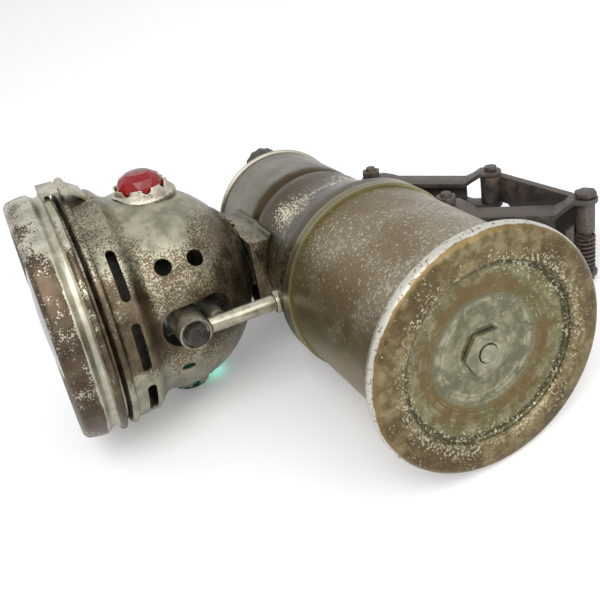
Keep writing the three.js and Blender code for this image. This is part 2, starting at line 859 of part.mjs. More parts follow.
// Front door: bezel with a rear bead, a small bead, a hollow and a broad front bead
const door = new THREE.Group();
door.position.y = doorLeft;
head.add(door);
const doorHollow = 0.955;
const doorShares = [
  [0.951, 0.007], [0.978, 0], [1, 0.04], [1, 0.1], [0.987, 0.158], [doorHollow, 0.224], [doorHollow, 0.322],
  [0.969, 0.388], [0.987, 0.46], [0.987, 0.572], [0.981, 0.73], [0.967, 0.908], [0.942, 0.98], [0.915, 1],
  [0.846, 0.9], [0.819, 0.888],
];
const doorCurve = doorShares.map(([out, along]) => [out * bezelRadius, doorRear + along * doorDepth]);
add('door_bezel', revolve(sheet(doorCurve, doorWall)), 'nickel', door);

// Lens: a shallow bent glass
const lensSphere = (lensRadius ** 2 + lensRise ** 2) / (2 * lensRise);
const lensEdge = lensFront - lensRise;
function lens() {
  const front = steps(3, (share) => {
    const radius = lensRadius * (1 - share);
    return [radius, lensFront - lensSphere + Math.sqrt(lensSphere ** 2 - radius ** 2)];
  });
  const back = front.map(([r, z]) => [r, z - lensThickness]).reverse();
  return revolve([...front, ...back]);
}
add('lens', lens(), 'clearGlass', door);

const retainerFront = lensEdge - lensThickness - gap;
const retainerRear = retainerFront - retainerWall;
const retainerOuter = radiusAt(doorCurve, retainerRear) - doorWall - gap;
add('lens_retainer', revolve(
  tube(retainerOuter, retainerInner, retainerRear, retainerFront),
), 'brightNickel', door);

// Door hinge: pin along the lamp's height, strap on the door, leaf on the body
const leafHalf = leafWidth / 2;
const knuckleHalf = knuckleLength / 2;
const pinBore = hingePinRadius + gap;
const hingeAt = (solid) => move(solid, headRear + hingeForward, hingeOut, headHeight);
const barrel = (low, high) => prism(ring(knuckleRadius, smallFacets), low, high, [ring(pinBore, smallFacets)]);
const hingeClear = (rear, front, low, high) => block(rear, front, -hingeOut, hingeOut, low, high);

// Strap over the door's rear bead, its end turned down behind the bead
function hingeStrap() {
  const low = bezelRadius + doorLeft + gap - hingeOut;
  const high = low + leafThickness;
  const turnedEnd = strapReach + leafThickness;
  const outline = [
    [0, low], [strapReach, low], [strapReach, low - strapTurnDown], [turnedEnd, low - strapTurnDown],
    [turnedEnd, high], [0, high],
  ];
  const leaf = prism(outline, -leafHalf, leafHalf);
  const rear = -knuckleRadius - overrun;
  const above = hingeClear(rear, knuckleRadius + gap, knuckleHalf, leafHalf + overrun);
  const below = hingeClear(rear, knuckleRadius + gap, -leafHalf - overrun, -knuckleHalf);
  const bore = round(pinBore, -leafHalf - overrun, leafHalf + overrun);
  const grown = doorCurve.slice(0, -2).map(([r, z]) => [r + gap, z]);
  const filled = revolve([...grown, [0, grown.at(-1)[1]], [0, grown[0][1]]]).rotate([0, 90, 0]);
  const doorClear = move(filled, -hingeForward, doorLeft - hingeOut, 0);
  return cut(join(leaf, barrel(-knuckleHalf, knuckleHalf)), above, below, bore, doorClear);
}
add('hinge_strap', hingeAt(hingeStrap()), 'brightNickel');

// Leaf on the skirt: a sheet that slopes down from the knuckles to a foot
function hingeLeaf() {
  const rear = -bodyLeafReach;
  const foot = radiusAt(headCurve(), hingeForward + rear) + gap - hingeOut;
  const outline = [
    [0, knuckleRadius / 2], [rear, foot + leafThickness], [rear, foot - leafThickness],
    [0, knuckleRadius / 2 - leafThickness],
  ];
  const leaf = prism(outline, -leafHalf, leafHalf);
  const side = knuckleHalf + gap;
  const knuckles = join(barrel(side, leafHalf), barrel(-leafHalf, -side));
  const clear = hingeClear(-knuckleRadius - gap, knuckleRadius + overrun, -side, side);
  const bore = round(pinBore, -leafHalf - overrun, leafHalf + overrun);
  return cut(join(leaf, knuckles), clear, bore, move(headSolid(gap), -hingeForward, -hingeOut, 0));
}
add('hinge_leaf', hingeAt(hingeLeaf()), 'brightNickel');

const pinHead = leafHalf + gap;
const pinEnd = pinHead + pinHeadHeight;
add('hinge_pin', hingeAt(join(
  round(hingePinRadius, -pinEnd, pinEnd),
  round(pinHeadRadius, pinHead, pinEnd),
  round(pinHeadRadius, -pinEnd, -pinHead),
)), 'nickel');

// Side jewels: red on the left, green on the right
function jewelRing() {
  const clawInner = jewelRadius + gap;
  const clawOuter = clawInner + sheetWall;
  const ledge = jewelRadius - 4 * gap;
  const profile = [
    [jewelRingRadius, jewelSeat - jewelRingDepth],
    [jewelRingRadius, jewelSeat - jewelClaw],
    [jewelRingRadius - gap * 4, jewelSeat - gap * 2],
    [clawOuter + gap, jewelSeat],
    [clawOuter, jewelSeat + jewelClaw],
    [clawInner, jewelSeat + jewelClaw],
    [clawInner, jewelSeat],
    [ledge, jewelSeat],
    [ledge, jewelSeat - jewelRingDepth],
  ];
  let solid = revolve(profile, middleFacets);
  const scallop = alongX(round(clawNotchRadius, jewelRadius - gap, jewelRingRadius), jewelSeat + jewelClaw);
  for (let i = 0; i < clawCount; i += 1) {
    solid = cut(solid, scallop.rotate([0, 0, i * 360 / clawCount]));
  }
  return cut(solid, move(headSolid(gap), -jewelForward, 0, 0));
}

const jewelShares = [[1, 0], [1, 0.27], [0.9, 0.6], [0.58, 0.9], [0, 1]];
function jewelGlass() {
  const low = jewelSeat + gap;
  const outline = jewelShares.map(([out, up]) => [out * jewelRadius, low + up * (jewelHeight)]);
  return revolve([[0, low], ...outline], jewelFacets);
}

for (const [name, glass, side] of [['red', 'redGlass', -1], ['green', 'greenGlass', 1]]) {
  const seat = new THREE.Group();
  seat.position.set(headRear + jewelForward, 0, headHeight);
  seat.rotation.x = side * quarterTurn;
  lamp.add(seat);
  add(`${name}_jewel_ring`, jewelRing(), 'brightNickel', seat);
  add(`${name}_jewel`, jewelGlass(), glass, seat);
}

// Bracket between tank and head: saddle riveted to the dome, sheet box on the tank with a neck
const headAt = (margin) => move(headSolid(margin), headRear, 0, headHeight);
function headSaddle() {
  const shell = cut(headAt(gap + saddleWall), headAt(gap));
  const window = block(
    headRear - saddleWall * 2, headRear + domeReach / 2, -saddleHalfWidth, saddleHalfWidth,
    headHeight - saddleHalfHeight, headHeight + saddleHalfHeight,
  );
  let solid = shell.intersect(window);
  const rivetSide = mix(boxHalfWidth, saddleHalfWidth, 0.5);
  for (const left of [-rivetSide, rivetSide]) {
    for (const up of [-0.6, 0.6]) {
      const height = up * saddleHalfHeight;
      const share = Math.hypot(left, height) / domeRadius;
      const surface = headRear + domeReach * (1 - Math.sqrt(1 - share ** 2)) - gap - saddleWall;
      const rivet = alongX(round(rivetRadius, surface - rivetHeight, surface + saddleWall * 0.7), 0);
      solid = join(solid, move(rivet, 0, left, headHeight + height));
    }
  }
  return cut(solid, headAt(gap));
}
add('head_saddle', headSaddle(), 'nickel');

// Sheet box open at both ends
function sleeveX(far, halfWidth, low, high, wall) {
  const side = halfWidth - wall;
  const outer = block(0, far, -halfWidth, halfWidth, low, high);
  return cut(outer, block(-overrun, far + overrun, -side, side, low + wall, high - wall));
}

function headBracket() {
  const neckLow = headHeight - boxNeckHalfHeight;
  const neckHigh = headHeight + boxNeckHalfHeight;
  const box = sleeveX(boxFront, boxHalfWidth, boxBottom, boxTop, boxWall);
  const neck = sleeveX(headRear + domeReach / 2, boxNeckHalfWidth, neckLow, neckHigh, boxWall);
  const flanges = block(0, boxFront, -boxFlangeHalfWidth, boxFlangeHalfWidth, boxBottom, boxTop);
  const skin = cut(tankSolid(gap + boxFlangeWall), tankSolid(gap)).intersect(flanges);
  return cut(join(box, neck, skin), tankSolid(gap), headAt(2 * gap + saddleWall));
}
add('head_bracket', headBracket(), 'nickel');

// Sprung rear bracket
const pinA = [pinAForward, pinAHeight];
const pinB = [pinBForward, pinBHeight];
const pinC = [pinA[0] + linkForward, pinA[1] + linkHeight];
const pinD = [pinB[0] + linkForward, pinB[1] + linkHeight];
const pinHole = pinRadius + gap;
const bossTop = lugTop - linkWall - gap;
const shortBossLow = upperLinkBottom + linkWall + gap;
const longBossLow = lowerLinkBottom + linkWall + gap;
const linkLength = Math.hypot(linkForward, linkHeight);
const linkTilt = Math.atan2(linkHeight, linkForward);

function generatorBracket() {
  const bossA = roundY(bossRadius, ...pinA, shortBossLow, bossTop);
  const bossB = roundY(bossRadius, ...pinB, longBossLow, bossTop);
  const half = bossRadius * 0.7;
  const ribOutline = [
    [pinA[0] - half, pinA[1]],
    [pinA[0], pinA[1] + half],
    [-tankRadius + tankFillet, pinA[1] + half],
    [-tankRadius + tankFillet, pinB[1]],
    [pinB[0], pinB[1] - half],
    [pinB[0] - half, pinB[1]],
  ];
  const rib = plateY(ribOutline, ribLow, ribHigh);
  const band = block(
    -bandRadius * 2, 0, -bracketSaddleHalfWidth, bracketSaddleHalfWidth,
    pinAHeight - bracketSaddleDrop, pinAHeight + bracketSaddleRise,
  );
  const skin = tankSolid(gap + bracketSaddleWall).intersect(band);
  const body = cut(join(rib, bossA, bossB, skin), tankSolid(gap));
  const bores = [pinA, pinB].map((pin) => roundY(pinHole, ...pin, -tankRadius * 2, tankRadius * 2));
  return cut(body, ...bores);
}
add('generator_bracket', generatorBracket(), 'rustySteel');

// Link drawn along its own length: x from pin to pin, y across, z along the pins
function linkSolid(bottom, nearDrop, farDrop) {
  const lugArc = (centre, from) => steps(6, (share) => {
    const angle = turn(from + share * 180);
    return [centre + lugRadius * Math.cos(angle), lugRadius * Math.sin(angle)];
  });
  const webFar = webOffset + linkWall;
  const near = lugRadius + joggleLength / 2;
  const far = linkLength - near;
  const outline = [
    ...lugArc(0, 90), [near, -linkWaist], [far, -linkWaist],
    ...lugArc(linkLength, -90), [far, lugRadius], [linkLength - webEnd, webFar], [near, webFar],
  ];
  const top = [
    [-lugRadius, lugTop], [lugRadius, lugTop],
    [lugRadius + joggleLength, lugTop - nearDrop],
    [linkLength - lugRadius - joggleLength, lugTop - farDrop],
    [linkLength - lugRadius, lugTop], [linkLength + lugRadius, lugTop],
  ];
  const under = top.map(([x, z]) => [x, z - linkWall]).reverse();
  const across = webFar + lugRadius;
  const ribbon = prism([...top, ...under], -across, across).rotate([90, 0, 0]);
  const filled = prism([...top, [linkLength + lugRadius, bottom], [-lugRadius, bottom]], -across, across);
  const strip = prism(outline, bottom - overrun, lugTop + overrun).intersect(ribbon);
  const floor = prism(outline, bottom, bottom + linkWall);
  const wall = block(near, linkLength - webEnd, webOffset, webFar, bottom, lugTop);
  let solid = join(strip, floor, wall.intersect(filled.rotate([90, 0, 0])));
  for (const centre of [0, linkLength]) {
    solid = cut(solid, move(round(pinHole, bottom - overrun, lugTop + overrun), centre, 0, 0));
  }
  return solid;
}

function placeLink(solid, pin) {
  const tilted = solid.rotate([0, 0, THREE.MathUtils.radToDeg(-linkTilt)]);
  return move(tilted.rotate([-90, 0, 0]), pin[0], 0, pin[1]);
}
const upperLink = linkSolid(upperLinkBottom, upperNearDrop, upperFarDrop);
const lowerLink = linkSolid(lowerLinkBottom, lowerNearDrop, lowerFarDrop);
add('upper_link', placeLink(upperLink, pinA), 'rustySteel');
add('lower_link', placeLink(lowerLink, pinB), 'rustySteel');

// Yoke: two bosses, the plate behind them and the slotted socket for the cycle's lamp blade
const plateMiddle = (pinC[0] + pinD[0]) / 2 - bossRadius + yokeWall / 2;
const socketBack = plateMiddle - yokeWall / 2 - socketDepth;
const socketWall = (socketDepth - socketSlotDepth) / 2;
const socketBottom = pinD[1] + socketLift;
const socketTop = socketBottom + socketHeight;
const socketMiddle = (socketBottom + socketTop) / 2;

function yoke() {
  const bossC = roundY(bossRadius, ...pinC, shortBossLow, bossTop);
  const bossD = roundY(slimBossRadius, ...pinD, shortBossLow, bossTop);
  const along = new THREE.Vector2(pinD[0] - pinC[0], pinD[1] - pinC[1]);
  const length = along.length();
  const dip = shortBossLow - yokeDip;
  const plateOutline = [
    [0, shortBossLow], [length * 0.16, shortBossLow], [length * 0.35, dip], [length * 0.72, dip],
    [length * 0.86, shortBossLow], [length, shortBossLow], [length, bossTop], [0, bossTop],
  ];
  const plate = prism(plateOutline, -bossRadius, yokeWall - bossRadius).rotate([90, 0, 0]);
  const tilt = THREE.MathUtils.radToDeg(Math.atan2(along.y, along.x));
  const upright = plate.rotate([0, 0, -tilt]).rotate([-90, 0, 0]);
  const halfWidth = socketWidth / 2;
  const socket = block(
    socketBack, plateMiddle, socketCentre - halfWidth, socketCentre + halfWidth, socketBottom, socketTop,
  );
  const halfSlot = socketSlotWidth / 2;
  const slot = block(
    socketBack + socketWall, socketBack + socketWall + socketSlotDepth,
    socketCentre - halfSlot, socketCentre + halfSlot, socketBottom - overrun, socketTop + overrun,
  );
  const clampHole = round(clampRadius + gap, socketBack - overrun, socketBack + socketWall + overrun);
  const body = cut(join(bossC, bossD, move(upright, pinC[0], 0, pinC[1]), socket), slot);
  const bores = [pinC, pinD].map((pin) => roundY(pinHole, ...pin, -tankRadius * 2, tankRadius * 2));
  return cut(body, ...bores, move(alongX(clampHole, socketMiddle), 0, socketCentre, 0));
}
add('yoke', yoke(), 'rustySteel');

function clampScrew() {
  const headNear = socketBack - clampNeck;
  const shank = round(clampRadius, headNear - clampNeck, socketBack + socketWall);
  const hexHead = hexagon(clampHeadRadius, headNear - clampHeadDepth, headNear);
  return move(alongX(join(shank, hexHead), socketMiddle), 0, socketCentre, 0);
}
add('clamp_screw', clampScrew(), 'darkSteel');

// Pins: a and b are bolts put in from below, c is riveted over, d is a bolt put in from above
const nutLow = lugTop + gap;
const hexY = (radius, pin, low, high) => plateY(ring(radius, 6, ...pin), low, high);
const nutY = (pin, corner, low, high) => plateY(
  ring(corner, 6, ...pin), low, high, [ring(pinHole, smallFacets, ...pin)],
);

for (const [name, pin, bottom] of [['a', pinA, upperLinkBottom], ['b', pinB, lowerLinkBottom]]) {
  const headTop = bottom - gap;
  const boltHead = hexY(lowNutCorner, pin, headTop - boltHeadDepth, headTop);
  const shank = roundY(pinRadius, ...pin, headTop - boltHeadDepth / 2, nutLow + nutDepth + boltTip);
  add(`bolt_${name}`, join(boltHead, shank), 'rustySteel');
  add(`nut_${name}`, nutY(pin, nutCorner, nutLow, nutLow + nutDepth), 'rustySteel');
}

const lowNut = (bottom) => bottom - gap - lowNutDepth;
const rivetHead = roundY(pinRadius + gap * 2, ...pinC, nutLow, nutLow + boltTip);
add('pin_c', join(
  rivetHead, roundY(pinRadius, ...pinC, lowNut(upperLinkBottom) - gap, nutLow + gap),
), 'rustySteel');
add('nut_c', nutY(pinC, lowNutCorner, lowNut(upperLinkBottom), upperLinkBottom - gap), 'rustySteel');
add('bolt_d', join(
  hexY(boltHeadCorner, pinD, nutLow, nutLow + boltHeadDepth),
  roundY(pinRadius, ...pinD, lowNut(lowerLinkBottom), nutLow + gap),
), 'rustySteel');
add('nut_d', nutY(pinD, lowNutCorner, lowNut(lowerLinkBottom), lowerLinkBottom - gap), 'rustySteel');

// Torsion spring: one unbroken wire round pin D, a leg at each end
function springPoints() {
  const top = shortBossLow - gap - springWireRadius - gap;
  const low = longBossLow + gap + springWireRadius;
  const count = springTurns * springStepsPerTurn;
  const coil = steps(count, (share) => {
    const angle = share * springTurns * 2 * Math.PI;
    return new THREE.Vector3(
      springMeanRadius * Math.cos(angle), mix(top, low, share), springMeanRadius * Math.sin(angle),
    );
  });
  const leg = (point, side) => point.clone().add(new THREE.Vector3(0, 0, side * springArm));
  return [leg(coil[0], -1), ...coil, leg(coil.at(-1), 1)];
}

// Wire swept through the points as rings of a few sides, closed by a fan at each end
function sweep(points, radius, sides) {
  const positions = [];
  const index = [];
  const up = new THREE.Vector3(0, 1, 0);
  points.forEach((point, i) => {
    const before = points[Math.max(i - 1, 0)];
    const after = points[Math.min(i + 1, points.length - 1)];
    const tangent = after.clone().sub(before).normalize();
    const side = up.clone().cross(tangent).normalize();
    const top = tangent.clone().cross(side);
    for (let k = 0; k < sides; k += 1) {
      const angle = k / sides * 2 * Math.PI;
      const spot = point.clone();
      spot.addScaledVector(side, radius * Math.cos(angle));
      spot.addScaledVector(top, radius * Math.sin(angle));
      positions.push(spot.x, spot.y, spot.z);
    }
  });
  const at = (i, k) => i * sides + (k % sides);
  for (let i = 0; i < points.length - 1; i += 1) {
    for (let k = 0; k < sides; k += 1) {
      index.push(at(i, k), at(i, k + 1), at(i + 1, k), at(i, k + 1), at(i + 1, k + 1), at(i + 1, k));
    }
  }
  const last = points.length - 1;
  for (let k = 1; k < sides - 1; k += 1) {
    index.push(at(0, 0), at(0, k + 1), at(0, k));
    index.push(at(last, 0), at(last, k), at(last, k + 1));
  }
  const geometry = new THREE.BufferGeometry();
  geometry.setAttribute('position', new THREE.Float32BufferAttribute(positions, 3));
  geometry.setIndex(index);
  return geometry;
}

const springPath = springPoints();
function leastTurnGap(points) {
  let least = Infinity;
  points.forEach((point, i) => {
    for (let k = i + springStepsPerTurn / 2; k < points.length; k += 1) {
      least = Math.min(least, point.distanceTo(points[k]));
    }
  });
  return least - 2 * springWireRadius;
}
console.log(`torsion spring: least gap to itself ${leastTurnGap(springPath).toFixed(2)} mm`);
const springSolid = toSolid(sweep(springPath, springWireRadius, springSides));
add('torsion_spring', move(springSolid, pinD[0], 0, pinD[1]), 'rustySteel');

// Laid on its right side: green jewel, base flange and tank rim touch the table. The plane
// through their three lowest points gives a new upward direction, until it no longer changes.
function lyingNormal() {
  lamp.updateMatrixWorld(true);
  const touching = ['green_jewel', 'base_cap', 'water_tank'].map((name) => {
    const mesh = lamp.getObjectByName(name);
    const spots = mesh.geometry.attributes.position;
    return Array.from({ length: spots.count }, (unused, i) => (
      new THREE.Vector3().fromBufferAttribute(spots, i).applyMatrix4(mesh.matrixWorld)
    ));
  });
  const normal = new THREE.Vector3(0, 1, 0);
  for (let pass = 0; pass < 12; pass += 1) {
    const lowest = touching.map((spots) => spots.reduce((low, spot) => (
      spot.dot(normal) < low.dot(normal) ? spot : low
    )));
    normal.copy(new THREE.Plane().setFromCoplanarPoints(...lowest).normal);
    if (normal.y < 0) normal.negate();
  }
  return normal;
}

const upward = lyingNormal();
const rearward = new THREE.Vector3(-1, 0, 0);
const away = upward.clone().cross(rearward).normalize();
const right = away.clone().cross(upward);
const lay = new THREE.Matrix4().makeBasis(right, away, upward).transpose();
lamp.quaternion.setFromRotationMatrix(lay);

const carbideLamp = new THREE.Group();
carbideLamp.add(lamp);
carbideLamp.updateMatrixWorld(true);
const bounds = new THREE.Box3().setFromObject(carbideLamp, true);
const centre = bounds.getCenter(new THREE.Vector3());
lamp.position.set(-centre.x, -centre.y, -bounds.min.z);
carbideLamp.updateMatrixWorld(true);

export default carbideLamp;
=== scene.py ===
import json
import math

import bmesh
import bpy
from mathutils import Matrix, Vector


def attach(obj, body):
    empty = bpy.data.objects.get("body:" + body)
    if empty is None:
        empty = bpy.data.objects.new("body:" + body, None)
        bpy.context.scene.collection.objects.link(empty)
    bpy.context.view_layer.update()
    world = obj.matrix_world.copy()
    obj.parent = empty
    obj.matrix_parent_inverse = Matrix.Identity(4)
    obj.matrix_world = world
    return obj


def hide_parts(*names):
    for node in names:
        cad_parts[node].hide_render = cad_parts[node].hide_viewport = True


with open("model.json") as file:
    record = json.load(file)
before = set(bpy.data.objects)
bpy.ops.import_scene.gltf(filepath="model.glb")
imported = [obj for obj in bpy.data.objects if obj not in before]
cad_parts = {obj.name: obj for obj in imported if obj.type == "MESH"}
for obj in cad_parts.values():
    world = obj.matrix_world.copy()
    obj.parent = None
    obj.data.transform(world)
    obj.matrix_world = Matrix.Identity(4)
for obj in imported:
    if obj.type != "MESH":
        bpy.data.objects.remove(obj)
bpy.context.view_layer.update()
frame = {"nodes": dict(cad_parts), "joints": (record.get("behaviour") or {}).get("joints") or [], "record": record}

# Sizes are millimetres in the lamp's own frame: X forward along the beam, Y to its left,
# Z up along the generator. The frame's joints say where that lies in the row frame.
metres_per_mm = 0.001
joints = {joint["name"]: joint for joint in frame["joints"]}
lamp_up = Vector(joints["base_cap_thread"]["axis"])
lamp_left = Vector(joints["upper_link_pivot"]["axis"])
lamp_forward = lamp_left.cross(lamp_up)
lamp_turn = Matrix((lamp_forward, lamp_left, lamp_up)).transposed().to_4x4()
lamp_origin = Matrix.Translation(Vector(joints["base_cap_thread"]["pos_m"]))
lamp_place = lamp_origin @ lamp_turn @ Matrix.Scale(metres_per_mm, 4)

# Camera, in the lamp's own frame
camera_place = Vector((109.9, 120.9, -154.3))
camera_aim = Vector((16.8, -15.2, 96.4))
camera_up = Vector((-0.3223, 0.877, 0.3563))
camera_field = math.radians(41.11)

# Light, floor and the camera's near limit, in metres in the row frame
camera_near = 0.01
ambient_strength = 0.72
light_aim = (0, 0, 0.04)
key_place = (-0.3, -0.5, 0.9)
key_size = 0.7
key_power = 4.5
fill_place = (0.4, -0.7, 0.7)
fill_size = 0.9
fill_power = 3.5
floor_half_width = 3.0
floor_gap = 0.0002
floor_tone = 0.92
floor_glow = 0.14
glow_share = 0.5
glow_aside = 0.009
glow_size = 0.008
glow_power = 0.00022
glow_colour = (0.1, 1, 0.75)

# Shape sizes that the smooth pieces share
seam_gap = 0.3
sheet_wall = 0.7
round_steps = 144
edge_round = 0.22
round_shy = 0.12
weld_gap = 0.002
cad_weld_gap = 0.004
sharp_angle = math.radians(38)
flat_angle = math.radians(2)

# Base cap
flange_radius = 38
rim_round = 3
face_radius = 33.4
recess_radius = 27.6
recess_depth = 4.4
recess_lip = 1.2
ring_depth = 2.8
disc_radius = 16.6
cap_sheet = 1.4
sleeve_top = 14
sleeve_wall = 1.3
stud_bore = 3.1

# Chamber and tank
chamber_radius = 32.3
chamber_flare = 0.4
chamber_flare_height = 12
flare_share = 1 / 3
chamber_wall = 0.9
chamber_bottom = 8.1
chamber_top = 68.6
band_radius = 33.4
band_bottom = 63
band_strip = 3.2
band_lip = 0.3
band_lip_gap = 0.06
shoulder_height = 70.1
shoulder_bulge = 4.2
shoulder_pull = 13.9
waist_radius = 26.9
waist_height = 101
waist_pull = 11
crease_round = 7
crease_radius = 25.7
crease_height = 113
tank_radius = 26.8
tank_fillet = 4.5
tank_height = 146.6
rim_bead = 0.9

# Head, forward from the rear of its dome
head_height = 114.9
head_rear = 30
dome_radius = 37.4
dome_reach = 35
neck_forward = 43.2
neck_radius = 37
skirt_radius = 43.3
skirt_length = 16
collar_radius = 40.4
collar_length = 4.4
collar_step = 0.7
slot_forward = 50.8
slot_width = 3.2
slot_pitch = 34.4
slot_span = 20
vent_radius = 2.9
vent_forwards = (36, 24.7)
vent_turn = 32.7
peep_forward = 36.3
peep_turn = -26.7
peep_length = 4.9
peep_width = 3.1
mouth_forward = 29.7
mouth_length = 25.6
mouth_width = 14
cutter_start = neck_radius / 2
cutter_reach = skirt_radius * 2
jewel_forward = 30.7
jewel_radius = 8.4
jewel_seat = 37.7
jewel_height = 6.2
facet_shares = ((1, 0), (1, 0.26), (0.85, 0.65), (0.5, 0.93), (0, 1))

# Reflector, door and lens
reflector_vertex = 16
reflector_front = 58.6
reflector_radius = 38.2
reflector_flange = 39.3
reflector_wall = 0.6
burner_room = 4.4
burner_slot_start = 1
holder_forward = 33.5
holder_room = 6.2
stem_forward = 24
door_left = 0.7
door_rear = 60.9
door_depth = 15.2
bezel_radius = 44.8
door_wall = 0.5
lens_radius = 38.5
lens_rise = 5.5
lens_thickness = 2.6
lens_front = 77

# Torsion spring
spring_radius = 2.9
spring_wire = 0.52
spring_turns = 8
spring_top = -1.22
spring_low = -13.88
spring_arm = 5.2

# How many steps the curves and round holes take
cap_rim_steps = 18
shoulder_steps = 24
crease_steps = 10
bead_steps = 10
dome_steps = 40
slot_arc_steps = 6
slot_end_steps = 22
mouth_steps = 34
seat_steps = 48
bowl_curve_steps = 24
bowl_round_steps = 96
door_bend_steps = 4
lens_steps = 16

# Grain of each metal's clouds, stains and specks
land_grain = 16
patch_grain = 4.5
plate_stain_grain = 7
head_speck_grain = 0.62
door_speck_grain = 0.6
tube_speck_grain = 0.6
tank_cloud_grain = 18
tank_stain_grain = 5
tank_speck_grain = 0.9
tank_scratch_grain = 1.2
chamber_cloud_grain = 24
chamber_stain_grain = 6
chamber_dash_grain = 0.9
cap_cloud_grain = 16
cap_stain_grain = 4
cap_speck_grain = 0.8
cap_pit_grain = 1.1
cap_scrape_grain = 0.55
scrape_break_grain = 14
rust_stain_grain = 5
rust_grain = 0.6
metal_stain_grain = 4
metal_scratch_grain = 0.5
rubber_grain = 1.5
felt_grain = 0.6
ceramic_grain = 2
smear_grain = 6
wave_grain = 9

# Depth of each metal's relief
plate_relief = 0.03
tank_relief = 0.03
chamber_relief = 0.02
cap_relief = 0.08
rust_relief = 0.05
metal_relief = 0.02
rubber_relief = 0.05
felt_relief = 0.25
ceramic_relief = 0.03

# Wear on the head: left of its axis and forward of its rear, from and to
jewel_plate_left = (20, 29)
jewel_plate_forward = (38, 44)
bare_rear_left = (18, 28)
bare_rear_forward = (20, 30)
bare_middle_start = (-13, -7)
bare_middle_end = (2, 10)
bare_skirt_left = (16, 24)
bare_skirt_forward = (42, 46)
skirt_plate_left = (-11, -5)
skirt_plate_forward = (42, 45)
low_plate_left = (-24, -4)
bracket_forward = (-5, -1)

# Wear on the door: shares of its depth, and left of its axis
hollow_start_shares = (0.16, 0.2)
hollow_end_shares = (0.42, 0.5)
front_bead_shares = (0.5, 0.6)
door_plate_left = (20, 38)

# Wear and painted light on the tank, with painted shade in the crease and a painted dark reflection on the upper
# side: steps from its crease, band and rim, and left of its axis, from and to
tank_sway = 6
crease_shade_start = (-10, -2)
crease_shade_end = (5, 9)
neck_start = (5, 10)
speck_end = 20
speck_fade = (-16, 0)
shade_left = (4, 20)
shade_end = (0, 6)
strip_end = (0, 0.3)
line_end = (0.3, 0.5)
ridge_start = (-0.3, 0)
ridge_end = (0.2, 0.5)
groove_start_shares = (-4.4, -3.8)
groove_end_shares = (-2.8, -2.4)
bead_start_shares = (-2.6, -2)

# Tone and painted shade on the chamber: left of its axis and up from the base, from and to
chamber_shade_left = (-14, 16)
olive_heights = (54, 74)
olive_sway = 20

# Wear on the cap, and painted shade on its recess step: steps from its rings, from and to
cap_sway = 6
recess_fade = (-1, 0.5)
rust_start = (0, 2)
rust_end = (3, 8)
disc_pale_reach = (4, 9)
disc_fade = (0, 1)
step_shade_start = (-2.2, -1.2)
step_shade_end = (-0.6, 0.2)
lip_fade = (1, 6)
lip_start = 4
rim_start = (-3.4, -2.8)
crest_sway = 1.6
crest_start = (-1.1, -0.5)
rim_side_sway = 1.2
rim_side_heights = (1.9, 2.4)


# Shape helpers
def share(count):
    """Evenly spaced values from 0 to 1, both ends included."""
    return [index / count for index in range(count + 1)]


def mix(first, second, part):
    return first + (second - first) * part


def past(place, steps):
    """Places that lie the given steps past a place."""
    return [place + step for step in steps]


def inset(curve, wall):
    """The inner side of a sheet whose outer side runs upwards along the curve."""
    points = []
    for index, (reach, height) in enumerate(curve):
        before = curve[max(index - 1, 0)]
        after = curve[min(index + 1, len(curve) - 1)]
        inward = Vector((before[1] - after[1], after[0] - before[0])).normalized()
        points.append((max(reach + inward.x * wall, 0), height + inward.y * wall))
    return points


def sheet(curve, wall):
    return curve + inset(curve, wall)[::-1]


def bend(points, steps=5):
    """A smooth curve through outline points, with a few steps between each two."""
    result = []
    last = len(points) - 1
    for index in range(last):
        corners = [points[min(max(index + step, 0), last)] for step in (-1, 0, 1, 2)]
        for part in share(steps)[:-1]:
            result.append(tuple(catmull(axis, part) for axis in zip(*corners)))
    result.append(tuple(points[-1]))
    return result


def catmull(values, part):
    before, start, end, after = values
    lift = 2 * start + (end - before) * part
    swing = (2 * before - 5 * start + 4 * end - after) * part ** 2
    turn = (3 * start - before - 3 * end + after) * part ** 3
    return (lift + swing + turn) / 2


def make_object(name, mesh):
    piece = bpy.data.objects.new(name, mesh)
    bpy.context.scene.collection.objects.link(piece)
    return piece


def smooth(mesh, angle=sharp_angle):
    """Smooth shading with sharp edges kept."""
    work = bmesh.new()
    work.from_mesh(mesh)
    bmesh.ops.remove_doubles(work, verts=work.verts, dist=metres_per_mm * weld_gap)
    bmesh.ops.recalc_face_normals(work, faces=work.faces)
    for face in work.faces:
        face.smooth = True
    for edge in work.edges:
        edge.smooth = edge.is_manifold and edge.calc_face_angle(0) < angle
    work.to_mesh(mesh)
    work.free()


def measure(piece, place):
    """Stores each point's distance from an axis, its height along it and its Y, in millimetres."""
    mesh = piece.data
    for name in ("reach", "height", "left"):
        mesh.attributes.new(name, "FLOAT", "POINT")
    inverse = place.inverted()
    for vertex in mesh.vertices:
        spot = inverse @ vertex.co
        mesh.attributes["reach"].data[vertex.index].value = math.hypot(spot.x, spot.y)
        mesh.attributes["height"].data[vertex.index].value = spot.z
        mesh.attributes["left"].data[vertex.index].value = spot.y


def lathe(name, outline, place, steps=round_steps):
    """A closed outline of (reach, height) points turned about the Z axis of a place."""
    mesh = bpy.data.meshes.new(name)
    points = []
    faces = []
    count = len(outline)
    for step in range(steps):
        angle = step / steps * math.tau
        for reach, height in outline:
            points.append((reach * math.cos(angle), reach * math.sin(angle), height))
        following = (step + 1) % steps
        for index in range(count):
            after = (index + 1) % count
            if outline[index][0] or outline[after][0]:
                faces.append((
                    step * count + index, following * count + index,
                    following * count + after, step * count + after,
                ))
    mesh.from_pydata([place @ Vector(point) for point in points], [], faces)
    smooth(mesh)
    return make_object(name, mesh)


